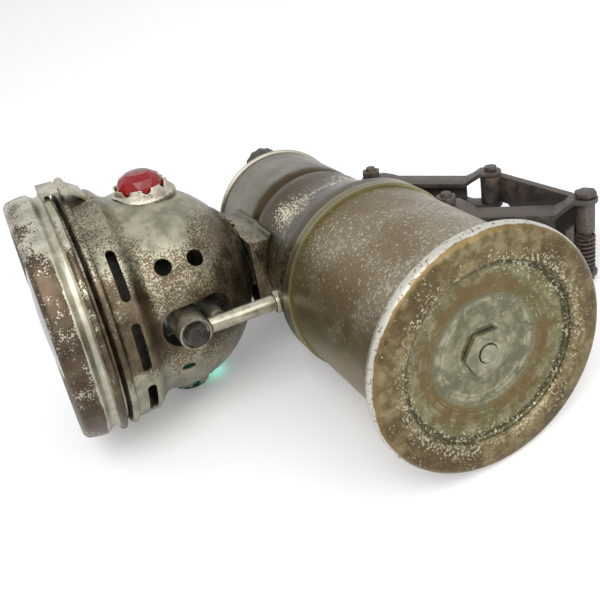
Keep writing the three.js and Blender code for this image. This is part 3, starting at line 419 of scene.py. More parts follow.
def prism(name, outline, low, high, place):
    """A straight block with the given (x, y) outline, used as a cutter."""
    count = len(outline)
    points = [(x, y, z) for z in (low, high) for x, y in outline]
    faces = [tuple(range(count))[::-1], tuple(range(count, 2 * count))]
    for index in range(count):
        after = (index + 1) % count
        faces.append((index, after, count + after, count + index))
    mesh = bpy.data.meshes.new(name)
    mesh.from_pydata([place @ Vector(point) for point in points], [], faces)
    return make_object(name, mesh)


def circle(radius, steps, x=0, turn=0):
    """Points round a circle, turned by a part of a step."""
    points = []
    for step in range(steps):
        angle = (step + turn) / steps * math.tau
        points.append((x + radius * math.cos(angle), radius * math.sin(angle)))
    return points


def carve(piece, cutters):
    """Cuts the cutters out of a piece and removes them."""
    for cutter in cutters:
        cut = piece.modifiers.new("cut", "BOOLEAN")
        cut.operation = "DIFFERENCE"
        cut.solver = "MANIFOLD"
        cut.object = cutter
    bake(piece)
    for cutter in cutters:
        bpy.data.objects.remove(cutter)
    smooth(piece.data)


def bake(piece):
    """Turns a piece's modifiers into plain mesh."""
    bpy.context.view_layer.update()
    result = piece.evaluated_get(bpy.context.evaluated_depsgraph_get())
    mesh = bpy.data.meshes.new_from_object(result)
    piece.modifiers.clear()
    piece.data = mesh


def dress(node, width, segments=2):
    """A copy of a CAD node with softly rounded edges."""
    source = frame["nodes"][node]
    piece = make_object(f"{node}_dressed", source.data.copy())
    work = bmesh.new()
    work.from_mesh(piece.data)
    bmesh.ops.remove_doubles(work, verts=work.verts, dist=metres_per_mm * cad_weld_gap)
    bmesh.ops.dissolve_limit(
        work, angle_limit=flat_angle, verts=work.verts, edges=work.edges,
    )
    work.to_mesh(piece.data)
    work.free()
    if width:
        soft = piece.modifiers.new("soft", "BEVEL")
        soft.width = width * metres_per_mm
        soft.segments = segments
        soft.limit_method = "ANGLE"
        soft.angle_limit = sharp_angle
        bake(piece)
    smooth(piece.data)
    return piece


# Procedural materials
class Surface:
    """One material, built node by node. Sizes of noise are in millimetres."""

    def __init__(self, name):
        self.material = bpy.data.materials.new(name)
        self.material.use_nodes = True
        self.tree = self.material.node_tree
        self.shader = self.tree.nodes["Principled BSDF"]
        self.place = self.node("ShaderNodeTexCoord").outputs["Object"]

    def node(self, kind, **settings):
        made = self.tree.nodes.new(kind)
        for key, value in settings.items():
            setattr(made, key, value)
        return made

    def feed(self, socket, value):
        if isinstance(value, bpy.types.NodeSocket):
            self.tree.links.new(value, socket)
        elif isinstance(value, tuple) and len(value) == 3 and socket.type == "RGBA":
            socket.default_value = (*value, 1)
        else:
            socket.default_value = value

    def noise(self, grain, detail=4.0, rough=0.55, stretch=(1, 1, 1), shift=0.0, twist=0.0):
        """Noise whose lumps are about grain millimetres wide."""
        spread = self.node("ShaderNodeMapping")
        self.feed(spread.inputs["Vector"], self.place)
        self.feed(spread.inputs["Scale"], stretch)
        self.feed(spread.inputs["Location"], (shift, shift, shift))
        made = self.node("ShaderNodeTexNoise")
        self.feed(made.inputs["Vector"], spread.outputs["Vector"])
        self.feed(made.inputs["Scale"], 1 / (grain * metres_per_mm))
        self.feed(made.inputs["Detail"], detail)
        self.feed(made.inputs["Roughness"], rough)
        self.feed(made.inputs["Distortion"], twist)
        return made.outputs["Fac"]

    def scratches(self, grain, stretch, shift=0.0):
        return self.noise(grain, detail=3.0, rough=0.7, stretch=stretch, shift=shift)

    def rings(self, grain, seed):
        """Broken circular scratches round the axis that was measured from."""
        made = self.node("ShaderNodeTexNoise", noise_dimensions="2D")
        spot = self.node("ShaderNodeCombineXYZ")
        self.feed(spot.inputs[0], self.product(self.fact("reach"), 1 / grain))
        self.feed(spot.inputs[1], self.noise(scrape_break_grain, detail=2, shift=seed))
        self.feed(made.inputs["Vector"], spot.outputs[0])
        self.feed(made.inputs["Scale"], 1.0)
        self.feed(made.inputs["Detail"], 2.0)
        return made.outputs["Fac"]

    def span(self, value, low, high, start=0.0, end=1.0):
        """Takes low..high of a value smoothly to start..end."""
        made = self.node("ShaderNodeMapRange", interpolation_type="SMOOTHSTEP")
        for name, number in (
            ("Value", value), ("From Min", low), ("From Max", high),
            ("To Min", start), ("To Max", end),
        ):
            self.feed(made.inputs[name], number)
        return made.outputs["Result"]

    def between(self, value, rise, fall, peak=1.0):
        """Climbs to a peak over one stretch of a value and drops to 0 over another."""
        return self.product(self.span(value, *rise, 0, peak), self.span(value, *fall, 1, 0))

    def sum(self, first, second, part=1.0):
        made = self.node("ShaderNodeMath", operation="MULTIPLY_ADD")
        self.feed(made.inputs[0], second)
        self.feed(made.inputs[1], part)
        self.feed(made.inputs[2], first)
        return made.outputs[0]

    def product(self, first, second):
        made = self.node("ShaderNodeMath", operation="MULTIPLY")
        self.feed(made.inputs[0], first)
        self.feed(made.inputs[1], second)
        return made.outputs[0]

    def blend(self, part, first, second):
        made = self.node("ShaderNodeMix", data_type="RGBA")
        self.feed(made.inputs["Factor"], part)
        self.feed(made.inputs[6], first)
        self.feed(made.inputs[7], second)
        return made.outputs[2]

    def fact(self, name):
        return self.node("ShaderNodeAttribute", attribute_name=name).outputs["Fac"]

    def edges(self):
        """How far a spot stands out, for wear on beads and corners."""
        made = self.node("ShaderNodeNewGeometry")
        return self.span(made.outputs["Pointiness"], 0.52, 0.6)

    def bump(self, height, depth):
        """Depth in millimetres of a height that runs from 0 to 1."""
        made = self.node("ShaderNodeBump")
        self.feed(made.inputs["Strength"], 1.0)
        self.feed(made.inputs["Distance"], depth * metres_per_mm)
        self.feed(made.inputs["Height"], height)
        return made.outputs["Normal"]

    def set(self, **values):
        names = {
            "colour": "Base Color", "metal": "Metallic", "rough": "Roughness",
            "normal": "Normal", "glass": "Transmission Weight", "ior": "IOR",
        }
        for key, value in values.items():
            self.feed(self.shader.inputs[names[key]], value)
        return self.material


def linear(red, green, blue):
    """A colour written as 0 to 255 screen values."""
    def channel(value):
        value = value / 255
        return value / 12.92 if value <= 0.04045 else ((value + 0.055) / 1.055) ** 2.4
    return tuple(channel(value) for value in (red, green, blue))


def worn_plate(
    name, nickel, patina, shift, cover, grain, lean=None, specks=1.0, lumps=0.3, behind=None,
):
    """Nickel plate worn through to brown metal, speckled where one gives way to the other."""
    surface = Surface(name)
    land = surface.noise(land_grain, detail=3, rough=0.5, shift=shift)
    patch = surface.noise(patch_grain, detail=6, rough=0.62, shift=shift + 1, twist=0.4)
    fine = surface.noise(grain, detail=2, rough=0.6, shift=shift + 2)
    stain = surface.noise(plate_stain_grain, detail=4, rough=0.6, shift=shift + 3)
    field = surface.sum(surface.sum(surface.product(land, 0.7), patch, lumps), fine, specks)
    if lean:
        field = surface.sum(field, lean(surface))
    plate = surface.span(field, cover, cover + 0.04)
    cloud = surface.span(stain, 0.38, 0.62)
    colour = surface.blend(
        plate, surface.blend(cloud, *patina), surface.blend(cloud, *nickel),
    )
    if behind:
        away = surface.span(surface.fact("height"), *bracket_forward, 0.75, 0)
        colour = surface.blend(away, colour, behind)
    rough = surface.span(stain, 0.3, 0.7, 0.26, 0.42)
    relief = surface.sum(surface.product(plate, 0.6), patch, 0.6)
    return surface.set(
        colour=colour, rough=rough, metal=surface.span(plate, 0, 1, 0.8, 0.95),
        normal=surface.bump(relief, plate_relief),
    )


def head_zones(surface):
    """Plate whole by the left jewel, gone along the middle, speckled on the rest."""
    left = surface.fact("left")
    forward = surface.fact("height")
    jewel = surface.product(
        surface.span(left, *jewel_plate_left, 0, 0.55),
        surface.span(forward, *jewel_plate_forward, 1, 0.3),
    )
    rear = surface.product(
        surface.span(forward, *bare_rear_forward, -0.4, 0), surface.span(left, *bare_rear_left),
    )
    jewel = surface.sum(jewel, rear)
    middle = surface.between(left, bare_middle_start, bare_middle_end, -0.2)
    worn = surface.product(
        surface.span(forward, *bare_skirt_forward, 0, -0.14),
        surface.span(left, *bare_skirt_left, 1, 0.3),
    )
    skirt = surface.product(
        surface.span(forward, *skirt_plate_forward, 0, 0.24),
        surface.span(left, *skirt_plate_left, 1, 0),
    )
    worn = surface.sum(worn, skirt)
    middle = surface.sum(middle, worn)
    low = surface.span(left, *low_plate_left, 0.3, 0)
    bracket = surface.span(forward, *bracket_forward, 0.1, 0)
    return surface.sum(surface.sum(surface.sum(jewel, middle), low), bracket)


def on_door(shares):
    """Places at shares of the door's depth."""
    return [door_rear + door_depth * along for along in shares]


def door_zones(surface):
    """Plate whole in the hollow and along the edges, brown patches on the front bead."""
    along = surface.fact("height")
    hollow = surface.between(along, on_door(hollow_start_shares), on_door(hollow_end_shares), 0.6)
    front = surface.span(along, *on_door(front_bead_shares), 0, 0.01)
    front = surface.sum(front, surface.span(surface.fact("left"), *door_plate_left, 0, 0.2))
    return surface.sum(surface.sum(hollow, front), surface.edges(), 0.1)


def from_rim(shares):
    """Heights on the tank, in shares of its bead from its rim."""
    return [tank_height + rim_bead * down for down in shares]


def tank_metal(name):
    """Smooth grey neck, painted shade in the crease, brown shoulder with bright specks and a painted dark
    reflection on its upper side, pale strip on the band.
    """
    surface = Surface(name)
    height = surface.fact("height")
    cloud = surface.noise(tank_cloud_grain, detail=3, shift=23)
    stain = surface.noise(tank_stain_grain, detail=6, rough=0.6, shift=24, twist=0.4)
    grain = surface.noise(tank_speck_grain, detail=3, rough=0.6, shift=25)
    tone = surface.span(stain, 0.38, 0.62)
    brown = surface.blend(tone, linear(74, 62, 40), linear(104, 91, 70))
    wavy = surface.sum(height, stain, tank_sway)
    # Painted shade: the crease between neck and shoulder is darkened to dark brown.
    crease = surface.between(
        wavy, past(crease_height, crease_shade_start), past(crease_height, crease_shade_end),
    )
    colour = surface.blend(surface.product(crease, 0.75), brown, linear(78, 66, 44))
    smooth_neck = surface.blend(
        surface.span(cloud, 0.35, 0.65), linear(106, 103, 92), linear(130, 127, 115),
    )
    neck = surface.span(wavy, *past(crease_height, neck_start))
    colour = surface.blend(neck, colour, smooth_neck)
    rise = surface.span(height, band_bottom, waist_height - speck_end, -0.04, 0.05)
    crowd = surface.sum(surface.sum(grain, cloud, 0.7), rise)
    crowd = surface.sum(crowd, surface.span(height, *past(crease_height, speck_fade), 0, -0.26))
    flecks = surface.span(crowd, 0.97, 1.02)
    # Painted dark reflection on the shoulder's upper side, below the crease.
    side_shading = surface.product(
        surface.span(surface.fact("left"), *shade_left, 0, 0.55),
        surface.span(height, *past(crease_height, shade_end), 1, 0),
    )
    colour = surface.blend(side_shading, colour, linear(58, 48, 30))
    colour = surface.blend(flecks, colour, linear(214, 206, 184))
    band_top = band_bottom + band_strip
    strip = surface.span(height, *past(band_top, strip_end), 0.6, 0)
    colour = surface.blend(strip, colour, linear(136, 128, 106))
    line = surface.span(height, *past(band_bottom, line_end), 0.7, 0)
    ridge = surface.between(height, past(band_top, ridge_start), past(band_top, ridge_end), 0.6)
    colour = surface.blend(surface.sum(line, ridge), colour, linear(170, 164, 124))
    groove = surface.between(
        height, from_rim(groove_start_shares), from_rim(groove_end_shares), 0.8,
    )
    colour = surface.blend(groove, colour, linear(60, 54, 42))
    bead = surface.span(height, *from_rim(bead_start_shares))
    colour = surface.blend(surface.product(bead, 0.7), colour, linear(196, 190, 176))
    scratch = surface.scratches(tank_scratch_grain, (1, 0.12, 1), 27)
    rough = surface.span(stain, 0.3, 0.7, 0.28, 0.42)
    relief = surface.sum(surface.product(scratch, 0.5), surface.sum(stain, flecks, 0.5), 0.8)
    return surface.set(
        colour=colour, rough=rough, metal=0.9, normal=surface.bump(relief, tank_relief),
    )


def chamber_metal(name):
    """Grey-brown metal with small pale dashes, browner towards the band, and browner and darker on the right side
    that it lies on: partly its tone, partly painted shade.
    """
    surface = Surface(name)
    height = surface.fact("height")
    cloud = surface.noise(chamber_cloud_grain, detail=3, shift=11)
    stain = surface.noise(chamber_stain_grain, detail=6, rough=0.6, shift=12, twist=0.3)
    dash = surface.noise(chamber_dash_grain, detail=3, rough=0.65, shift=13, stretch=(1, 1, 0.75))
    side_shading = surface.span(surface.fact("left"), *chamber_shade_left)
    olive = surface.span(surface.sum(height, cloud, olive_sway), *olive_heights, 0, 0.75)
    tone = surface.span(surface.sum(cloud, stain, 0.5), 0.62, 0.88)
    base = surface.blend(tone, linear(120, 106, 82), linear(136, 125, 106))
    base = surface.blend(olive, base, linear(104, 92, 62))
    # Painted shade, partly tone: the low side, away from the light, is browner and darker.
    base = surface.blend(surface.span(side_shading, 0, 1, 0.5, 0), base, linear(122, 105, 64))
    crowd = surface.sum(surface.sum(dash, cloud, 0.3), side_shading, 0.15)
    crowd = surface.sum(crowd, olive, -0.06)
    flecks = surface.span(crowd, 0.86, 0.91)
    colour = surface.blend(surface.product(flecks, 0.75), base, linear(188, 182, 164))
    rough = surface.span(stain, 0.3, 0.7, 0.34, 0.46)
    relief = surface.sum(surface.product(flecks, 0.4), stain, 0.5)
    return surface.set(
        colour=colour, rough=rough, metal=0.88, normal=surface.bump(relief, chamber_relief),
    )


def cap_metal(name):
    """Brass cap: pale nickel left on the rim's side, gold crest, olive flange, painted shade on the recess step,
    grey-green disc.
    """
    surface = Surface(name)
    reach = surface.fact("reach")
    height = surface.fact("height")
    cloud = surface.noise(cap_cloud_grain, detail=3, shift=3)
    stain = surface.noise(cap_stain_grain, detail=6, rough=0.65, shift=5, twist=0.5)
    grain = surface.noise(cap_speck_grain, detail=3, rough=0.6, shift=7)
    ragged = surface.sum(reach, surface.sum(stain, -0.5), cap_sway)
    tone = surface.span(stain, 0.38, 0.64)
    base = surface.blend(tone, linear(100, 86, 56), linear(140, 128, 96))
    dark = surface.span(cloud, 0.5, 0.6)
    base = surface.blend(surface.product(dark, 0.75), base, linear(80, 66, 42))
    ring = surface.blend(tone, linear(104, 96, 64), linear(136, 130, 102))
    recess = surface.span(reach, *past(recess_radius, recess_fade), 1, 0)
    base = surface.blend(recess, base, ring)
    rust = surface.between(ragged, past(disc_radius, rust_start), past(disc_radius, rust_end))
    golden = surface.blend(dark, linear(106, 88, 54), linear(98, 94, 62))
    base = surface.blend(surface.product(rust, 0.8), base, golden)
    disc = surface.blend(tone, linear(106, 105, 84), linear(142, 138, 114))
    pale = surface.span(reach, *disc_pale_reach, 0.6, 0)
    disc = surface.blend(pale, disc, linear(156, 153, 132))
    inner = surface.span(ragged, *past(disc_radius, disc_fade), 1, 0)
    base = surface.blend(inner, base, disc)
    # Painted shade: a dark band on the step down into the recess.
    step = surface.between(reach, past(recess_radius, step_shade_start), past(recess_radius, step_shade_end))
    base = surface.blend(surface.product(step, 0.85), base, linear(58, 56, 38))
    lip = surface.product(
        surface.span(reach, *past(recess_radius, lip_fade), 0.12, 0),
        surface.span(reach, disc_radius + lip_start, recess_radius, 0, 1),
    )
    crowd = surface.sum(surface.sum(grain, cloud, 0.4), lip)
    flecks = surface.span(crowd, 0.86, 0.91)
    colour = surface.blend(surface.product(flecks, 0.7), base, linear(198, 192, 166))
    rim = surface.span(reach, *past(flange_radius, rim_start))
    worn_reach = surface.sum(reach, stain, crest_sway)
    crest = surface.span(worn_reach, *past(flange_radius, crest_start))
    colour = surface.blend(surface.product(crest, 0.6), colour, linear(126, 104, 62))
    worn_height = surface.sum(height, stain, rim_side_sway)
    side = surface.product(surface.span(worn_height, *rim_side_heights), rim)
    pits = surface.span(surface.noise(cap_pit_grain, detail=4, shift=15), 0.58, 0.63, 1, 0.1)
    colour = surface.blend(surface.product(side, pits), colour, linear(200, 198, 188))
    scrape = surface.rings(cap_scrape_grain, 21)
    light = surface.product(
        surface.product(surface.span(scrape, 0.54, 0.68), surface.span(stain, 0.42, 0.6)),
        surface.span(reach, disc_radius, recess_radius, 0.6, 0),
    )
    colour = surface.blend(light, colour, linear(186, 182, 160))
    rough = surface.span(stain, 0.3, 0.7, 0.3, 0.46)
    relief = surface.sum(surface.sum(surface.product(scrape, 0.9), flecks, 0.5), stain, 0.8)
    return surface.set(
        colour=colour, rough=rough, metal=0.8, normal=surface.bump(relief, cap_relief),
    )


def rusty(name, base, rust, shift):
    """Dark steel with brown rust and a few rubbed grey spots."""
    surface = Surface(name)
    stain = surface.noise(rust_stain_grain, detail=6, rough=0.6, shift=shift, twist=0.5)
    grain = surface.noise(rust_grain, detail=4, rough=0.7, shift=shift + 2)
    mixed = surface.blend(surface.span(stain, 0.4, 0.62), base, rust)
    rubbed = surface.span(surface.sum(grain, surface.edges(), 0.22), 0.64, 0.8, 0, 0.7)
    colour = surface.blend(rubbed, mixed, linear(124, 116, 108))
    rough = surface.span(stain, 0.35, 0.65, 0.4, 0.6)
    metal = surface.span(stain, 0.42, 0.62, 0.75, 0.35)
    return surface.set(
        colour=colour, rough=rough, metal=metal, normal=surface.bump(grain, rust_relief),
    )


def plain_metal(name, tone, dull, shift, gloss, cover=0.62):
    """Clean metal with soft stains and fine scratches."""
    surface = Surface(name)
    stain = surface.noise(metal_stain_grain, detail=6, rough=0.6, shift=shift)
    fine = surface.noise(metal_scratch_grain, detail=3, rough=0.7, shift=shift + 3)
    colour = surface.blend(surface.span(stain, cover - 0.2, cover + 0.1), tone, dull)
    rough = surface.span(stain, 0.3, 0.7, gloss, gloss + 0.18)
    return surface.set(
        colour=colour, rough=rough, metal=0.92, normal=surface.bump(fine, metal_relief),
    )


def soft_stuff(name, tone, second, rough, depth, grain):
    """Dull material mottled in two tones."""
    surface = Surface(name)
    mottle = surface.noise(grain, detail=5)
    colour = surface.blend(surface.span(mottle, 0.35, 0.65), tone, second)
    return surface.set(colour=colour, rough=rough, normal=surface.bump(mottle, depth))


def glass(name, tone, ior, rough=0.02, fog=0.08, wave=0.02):
    """Glass with smears of fog and a slightly wavy face."""
    surface = Surface(name)
    smear = surface.noise(smear_grain, detail=4)
    gloss = surface.span(smear, 0.4, 0.7, rough, rough + fog)
    waves = surface.noise(wave_grain, detail=2)
    return surface.set(
        colour=tone, rough=gloss, glass=1.0, ior=ior, normal=surface.bump(waves, wave),
    )


cut_glass = {"ior": 1.45, "rough": 0, "fog": 0.03, "wave": 0.004}
materials = {
    "chamber_nickel": chamber_metal("chamber_nickel"),
    "tank_nickel": tank_metal("tank_nickel"),
    "head_nickel": worn_plate(
        "head_nickel", (linear(134, 131, 114), linear(168, 164, 144)),
        (linear(78, 66, 49), linear(108, 95, 76)), shift=37, cover=1.33, lean=head_zones,
        specks=1.55, grain=head_speck_grain, behind=linear(88, 88, 70)),
    "door_nickel": worn_plate(
        "door_nickel", (linear(162, 158, 141), linear(194, 190, 174)),
        (linear(72, 60, 47), linear(96, 83, 67)), shift=51, cover=1.12, lean=door_zones,
        specks=0.7, grain=door_speck_grain, lumps=0.6),
    "cap_brass": cap_metal("cap_brass"),
    "bright_nickel": worn_plate(
        "bright_nickel", (linear(160, 155, 138), linear(196, 191, 174)),
        (linear(100, 92, 74), linear(126, 116, 96)), shift=3, cover=0.8, grain=tube_speck_grain),
    "burner_nickel": plain_metal(
        "burner_nickel", linear(150, 146, 130), linear(100, 94, 78), shift=9, gloss=0.34, cover=0.58),
    "inner_brass": plain_metal(
        "inner_brass", linear(178, 152, 96), linear(110, 90, 56), shift=17, gloss=0.32),
    "silvered": plain_metal(
        "silvered", linear(226, 224, 216), linear(180, 176, 162), shift=25, gloss=0.1),
    "dark_steel": rusty("dark_steel", linear(54, 53, 50), linear(66, 58, 48), 31),
    "rusty_steel": rusty("rusty_steel", linear(84, 82, 78), linear(94, 80, 70), 43),
    "spring_steel": rusty("spring_steel", linear(66, 60, 58), linear(88, 68, 56), 57),
    "rubber": soft_stuff(
        "rubber", linear(34, 30, 27), linear(52, 46, 40), 0.85, rubber_relief, rubber_grain),
    "felt": soft_stuff(
        "felt", linear(176, 164, 138), linear(150, 138, 112), 0.95, felt_relief, felt_grain),
    "ceramic": soft_stuff(
        "ceramic", linear(226, 218, 200), linear(196, 184, 160), 0.6, ceramic_relief, ceramic_grain),
    "red_glass": glass("red_glass", linear(146, 0, 12), **cut_glass),
    "green_glass": glass("green_glass", linear(20, 140, 106), **cut_glass),
    "clear_glass": glass("clear_glass", linear(104, 118, 114), ior=1.4),
}
slot_of = {part["node"]: part["material_slot"] for part in frame["record"]["subparts"]}
body_of = {
    node: body
    for body, nodes in frame["record"]["behaviour"]["bodies"].items()
    for node in nodes
}


def wear_slot(piece, node):
    """Gives a piece the material, slot and body of the node that it stands for."""
    piece.data.materials.clear()
    piece.data.materials.append(materials[slot_of[node]])
    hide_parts(node)
    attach(piece, body_of[node])


# Base cap
def cap_outline():
    rim_middle = rim_round + seam_gap
    rim_reach = flange_radius - rim_round - round_shy
    roll = [
        (
            rim_reach + rim_round * math.cos(mix(-math.pi, math.pi, part) / 2),
            rim_middle + rim_round * math.sin(mix(-math.pi, math.pi, part) / 2),
        )
        for part in share(cap_rim_steps)
    ]
    under = bend([
        (disc_radius, recess_depth),
        (disc_radius + recess_lip, ring_depth + recess_lip),
        (recess_radius - recess_lip, ring_depth),
        (recess_radius, recess_lip),
        (recess_radius + recess_lip, 0),
        (face_radius, 0),
    ])
    sleeve_radius = chamber_radius - chamber_wall - seam_gap
    inside = [
        (sleeve_radius, rim_middle + rim_round),
        (sleeve_radius, sleeve_top),
        (sleeve_radius - sleeve_wall, sleeve_top),
        (sleeve_radius - sleeve_wall, recess_lip + cap_sheet),
        (recess_radius, ring_depth + cap_sheet),
        (disc_radius + recess_lip, recess_depth + cap_sheet),
        (stud_bore, recess_depth + cap_sheet),
        (stud_bore, recess_depth),
    ]
    return under + roll + inside


base_cap = lathe("base_cap_spun", cap_outline(), lamp_place)
measure(base_cap, lamp_place)
wear_slot(base_cap, "base_cap")

# Chamber
chamber = lathe("chamber_tube", [
    (chamber_radius + chamber_flare, chamber_bottom),
    (chamber_radius + chamber_flare * flare_share, chamber_bottom + chamber_flare_height / 2),
    (chamber_radius, chamber_bottom + chamber_flare_height),
    (chamber_radius, chamber_top),
    (chamber_radius - chamber_wall, chamber_top),
    (chamber_radius - chamber_wall, chamber_bottom),
], lamp_place)
measure(chamber, lamp_place)
wear_slot(chamber, "carbide_chamber")


# Water tank
def cubic(points, part):
    """A point on a curve pulled by two inner points."""
    start, first, second, end = (Vector(point) for point in points)
    rest = 1 - part
    spot = start * rest ** 3 + first * (3 * rest ** 2 * part)
    spot += second * (3 * rest * part ** 2) + end * part ** 3
    return tuple(spot)


def tank_outline():
    corners = (
        (band_radius, shoulder_height),
        (band_radius - shoulder_bulge, shoulder_height + shoulder_pull),
        (waist_radius, waist_height - waist_pull),
        (waist_radius, waist_height),
    )
    shoulder = [cubic(corners, part) for part in share(shoulder_steps)]
    below = [
        (
            mix(waist_radius, crease_radius, part ** 2),
            mix(crease_height - crease_round, crease_height, part),
        )
        for part in share(crease_steps)
    ]
    above = [
        (
            mix(tank_radius, crease_radius, (1 - part) ** 2),
            mix(crease_height, crease_height + tank_fillet, part),
        )
        for part in share(crease_steps)
    ]
    bead = [
        (
            tank_radius - round_shy + rim_bead * math.cos(mix(-math.pi, math.pi, part) / 2),
            tank_height - rim_bead + rim_bead * math.sin(mix(-math.pi, math.pi, part) / 2),
        )
        for part in share(bead_steps)
    ]
    wall = [(band_radius, band_bottom)] + shoulder + below + above[1:]
    mouth = [(tank_radius - sheet_wall, tank_height)]
    inside = inset(wall, sheet_wall)[::-1]
    inside[-1] = (inside[-1][0], band_bottom + band_lip)
    lip = [(chamber_radius + band_lip_gap, band_bottom)]
    return wall + bead + mouth + inside + lip


tank = lathe("tank_shell", tank_outline(), lamp_place)
measure(tank, lamp_place)
wear_slot(tank, "water_tank")

# Head: Z along the beam, X down, Y left
head_place = (
    lamp_place
    @ Matrix.Translation((head_rear, 0, head_height))
    @ Matrix.Rotation(math.pi / 2, 4, "Y")
)
dome_end = math.acos((dome_reach - neck_forward) / dome_reach)
skirt_front = neck_forward + skirt_length
skirt_shares = [
    (0, 0), (0.19, 0.11), (0.635, 0.275), (0.7, 0.425), (0.78, 0.775), (0.97, 0.84), (1, 0.91),
    (0.905, 0.975), (0.73, 1),
]


def head_curve():
    dome = [
        (
            dome_radius * math.sin(part * dome_end),
            dome_reach - dome_reach * math.cos(part * dome_end),
        )
        for part in share(dome_steps)
    ]
    skirt = bend([
        (mix(neck_radius, skirt_radius, out), neck_forward + along * skirt_length)
        for out, along in skirt_shares
    ])
    collar_rear = skirt_front + collar_step
    return dome[:-1] + skirt + [
        (collar_radius, collar_rear), (collar_radius, collar_rear + collar_length),
    ]


def ray(name, outline, turn_degrees):
    """A cutter from the head's axis outwards, turned from straight down."""
    turned = (
        head_place
        @ Matrix.Rotation(math.radians(turn_degrees), 4, "Z")
        @ Matrix.Rotation(math.pi / 2, 4, "Y")
    )
    return prism(name, outline, 0, cutter_reach, turned)


def oval(forward, length, width, steps=32):
    return [(x * length / 2 - forward, y * width / 2) for x, y in circle(1, steps)]


def skirt_slot(turn_degrees):
    """Cutters for one slot with round ends."""
    half = slot_width / 2
    outline = []
    for reach, side in ((cutter_start, -1), (cutter_reach, 1)):
        for part in share(slot_arc_steps):
            angle = math.radians(mix(-side * slot_span / 2, side * slot_span / 2, part))
            outline.append((reach * math.cos(angle), reach * math.sin(angle)))
    turned = head_place @ Matrix.Rotation(math.radians(turn_degrees), 4, "Z")
    slot = prism("slot", outline, slot_forward - half, slot_forward + half, turned)
    ends = [
        ray(
            "slot_end", circle(half, slot_end_steps, x=-slot_forward),
            turn_degrees + side * slot_span / 2,
        )
        for side in (-1, 1)
    ]
    return [slot] + ends


def mouth_outline():
    straight = (mouth_length - mouth_width) / 2
    return [
        (
            x * mouth_width / 2 + math.copysign(straight, x) - mouth_forward,
            y * mouth_width / 2,
        )
        for x, y in circle(1, mouth_steps)
    ]


def head_cutters():
    cutters = [ray("mouth", mouth_outline(), 0)]
    cutters.append(ray("peep", oval(peep_forward, peep_length, peep_width), peep_turn))
    for forward in vent_forwards:
        for turn in (vent_turn, 180 - vent_turn, 180 + vent_turn):
            cutters.append(ray("vent", oval(forward, vent_radius * 2, vent_radius * 2), turn))
    for step in (-1, 0, 1):
        cutters += skirt_slot(step * slot_pitch)
        cutters += skirt_slot(180 + step * slot_pitch)
    sideways = (
        head_place @ Matrix.Rotation(math.pi / 2, 4, "Z") @ Matrix.Rotation(math.pi / 2, 4, "Y")
    )
    seat = circle(jewel_radius - seam_gap, seat_steps, x=-jewel_forward)
    cutters.append(prism("seat", seat, -cutter_reach, cutter_reach, sideways))
    return cutters


head_shell = lathe("head_shell", sheet(head_curve(), sheet_wall), head_place)
carve(head_shell, head_cutters())
measure(head_shell, head_place)
wear_slot(head_shell, "head_body")


# Reflector
def reflector_outline():
    curve = [
        (reflector_radius * math.sqrt(part), mix(reflector_vertex, reflector_front, part))
        for part in [step ** 2 for step in share(bowl_curve_steps)]
    ]
    front = inset(curve, reflector_wall)
    lip = reflector_front + reflector_wall
    outer = curve + [(reflector_flange, reflector_front), (reflector_flange, lip)]
    return outer + [(front[-1][0], lip)] + front[::-1]


reflector = lathe("reflector_bowl", reflector_outline(), head_place, bowl_round_steps)
slot_rear = reflector_vertex + burner_slot_start
carve(reflector, [
    prism("burner_slot", [
        (burner_room, -holder_room), (skirt_radius, -holder_room),
        (skirt_radius, holder_room), (burner_room, holder_room),
    ], slot_rear, holder_forward + holder_room, head_place),
    ray("chimney", oval(stem_forward, mouth_width, mouth_width), 180),
])
wear_slot(reflector, "reflector")

# Front door
door_place = head_place @ Matrix.Translation((0, door_left, 0))
door_shares = [
    (0.951, 0.007), (0.978, 0), (1, 0.04), (1, 0.1), (0.987, 0.158), (0.955, 0.224), (0.955, 0.322),
    (0.969, 0.388), (0.987, 0.46), (0.987, 0.572), (0.981, 0.73), (0.967, 0.908), (0.942, 0.98),
    (0.915, 1), (0.846, 0.9), (0.819, 0.888),
]
door_curve = bend([
    (out * (bezel_radius - edge_round), door_rear + along * (door_depth - edge_round))
    for out, along in door_shares
], door_bend_steps)
door = lathe("door_ring", sheet(door_curve, door_wall), door_place)
measure(door, door_place)
wear_slot(door, "door_bezel")


# Lens
def lens_outline():
    sphere = (lens_radius ** 2 + lens_rise ** 2) / (2 * lens_rise)
    front = [
        (
            lens_radius * (1 - part),
            lens_front - sphere + math.sqrt(sphere ** 2 - (lens_radius * (1 - part)) ** 2),
        )
        for part in share(lens_steps)
    ]
    return front + [(reach, height - lens_thickness) for reach, height in front][::-1]


lens = lathe("lens_glass", lens_outline(), door_place)
wear_slot(lens, "lens")


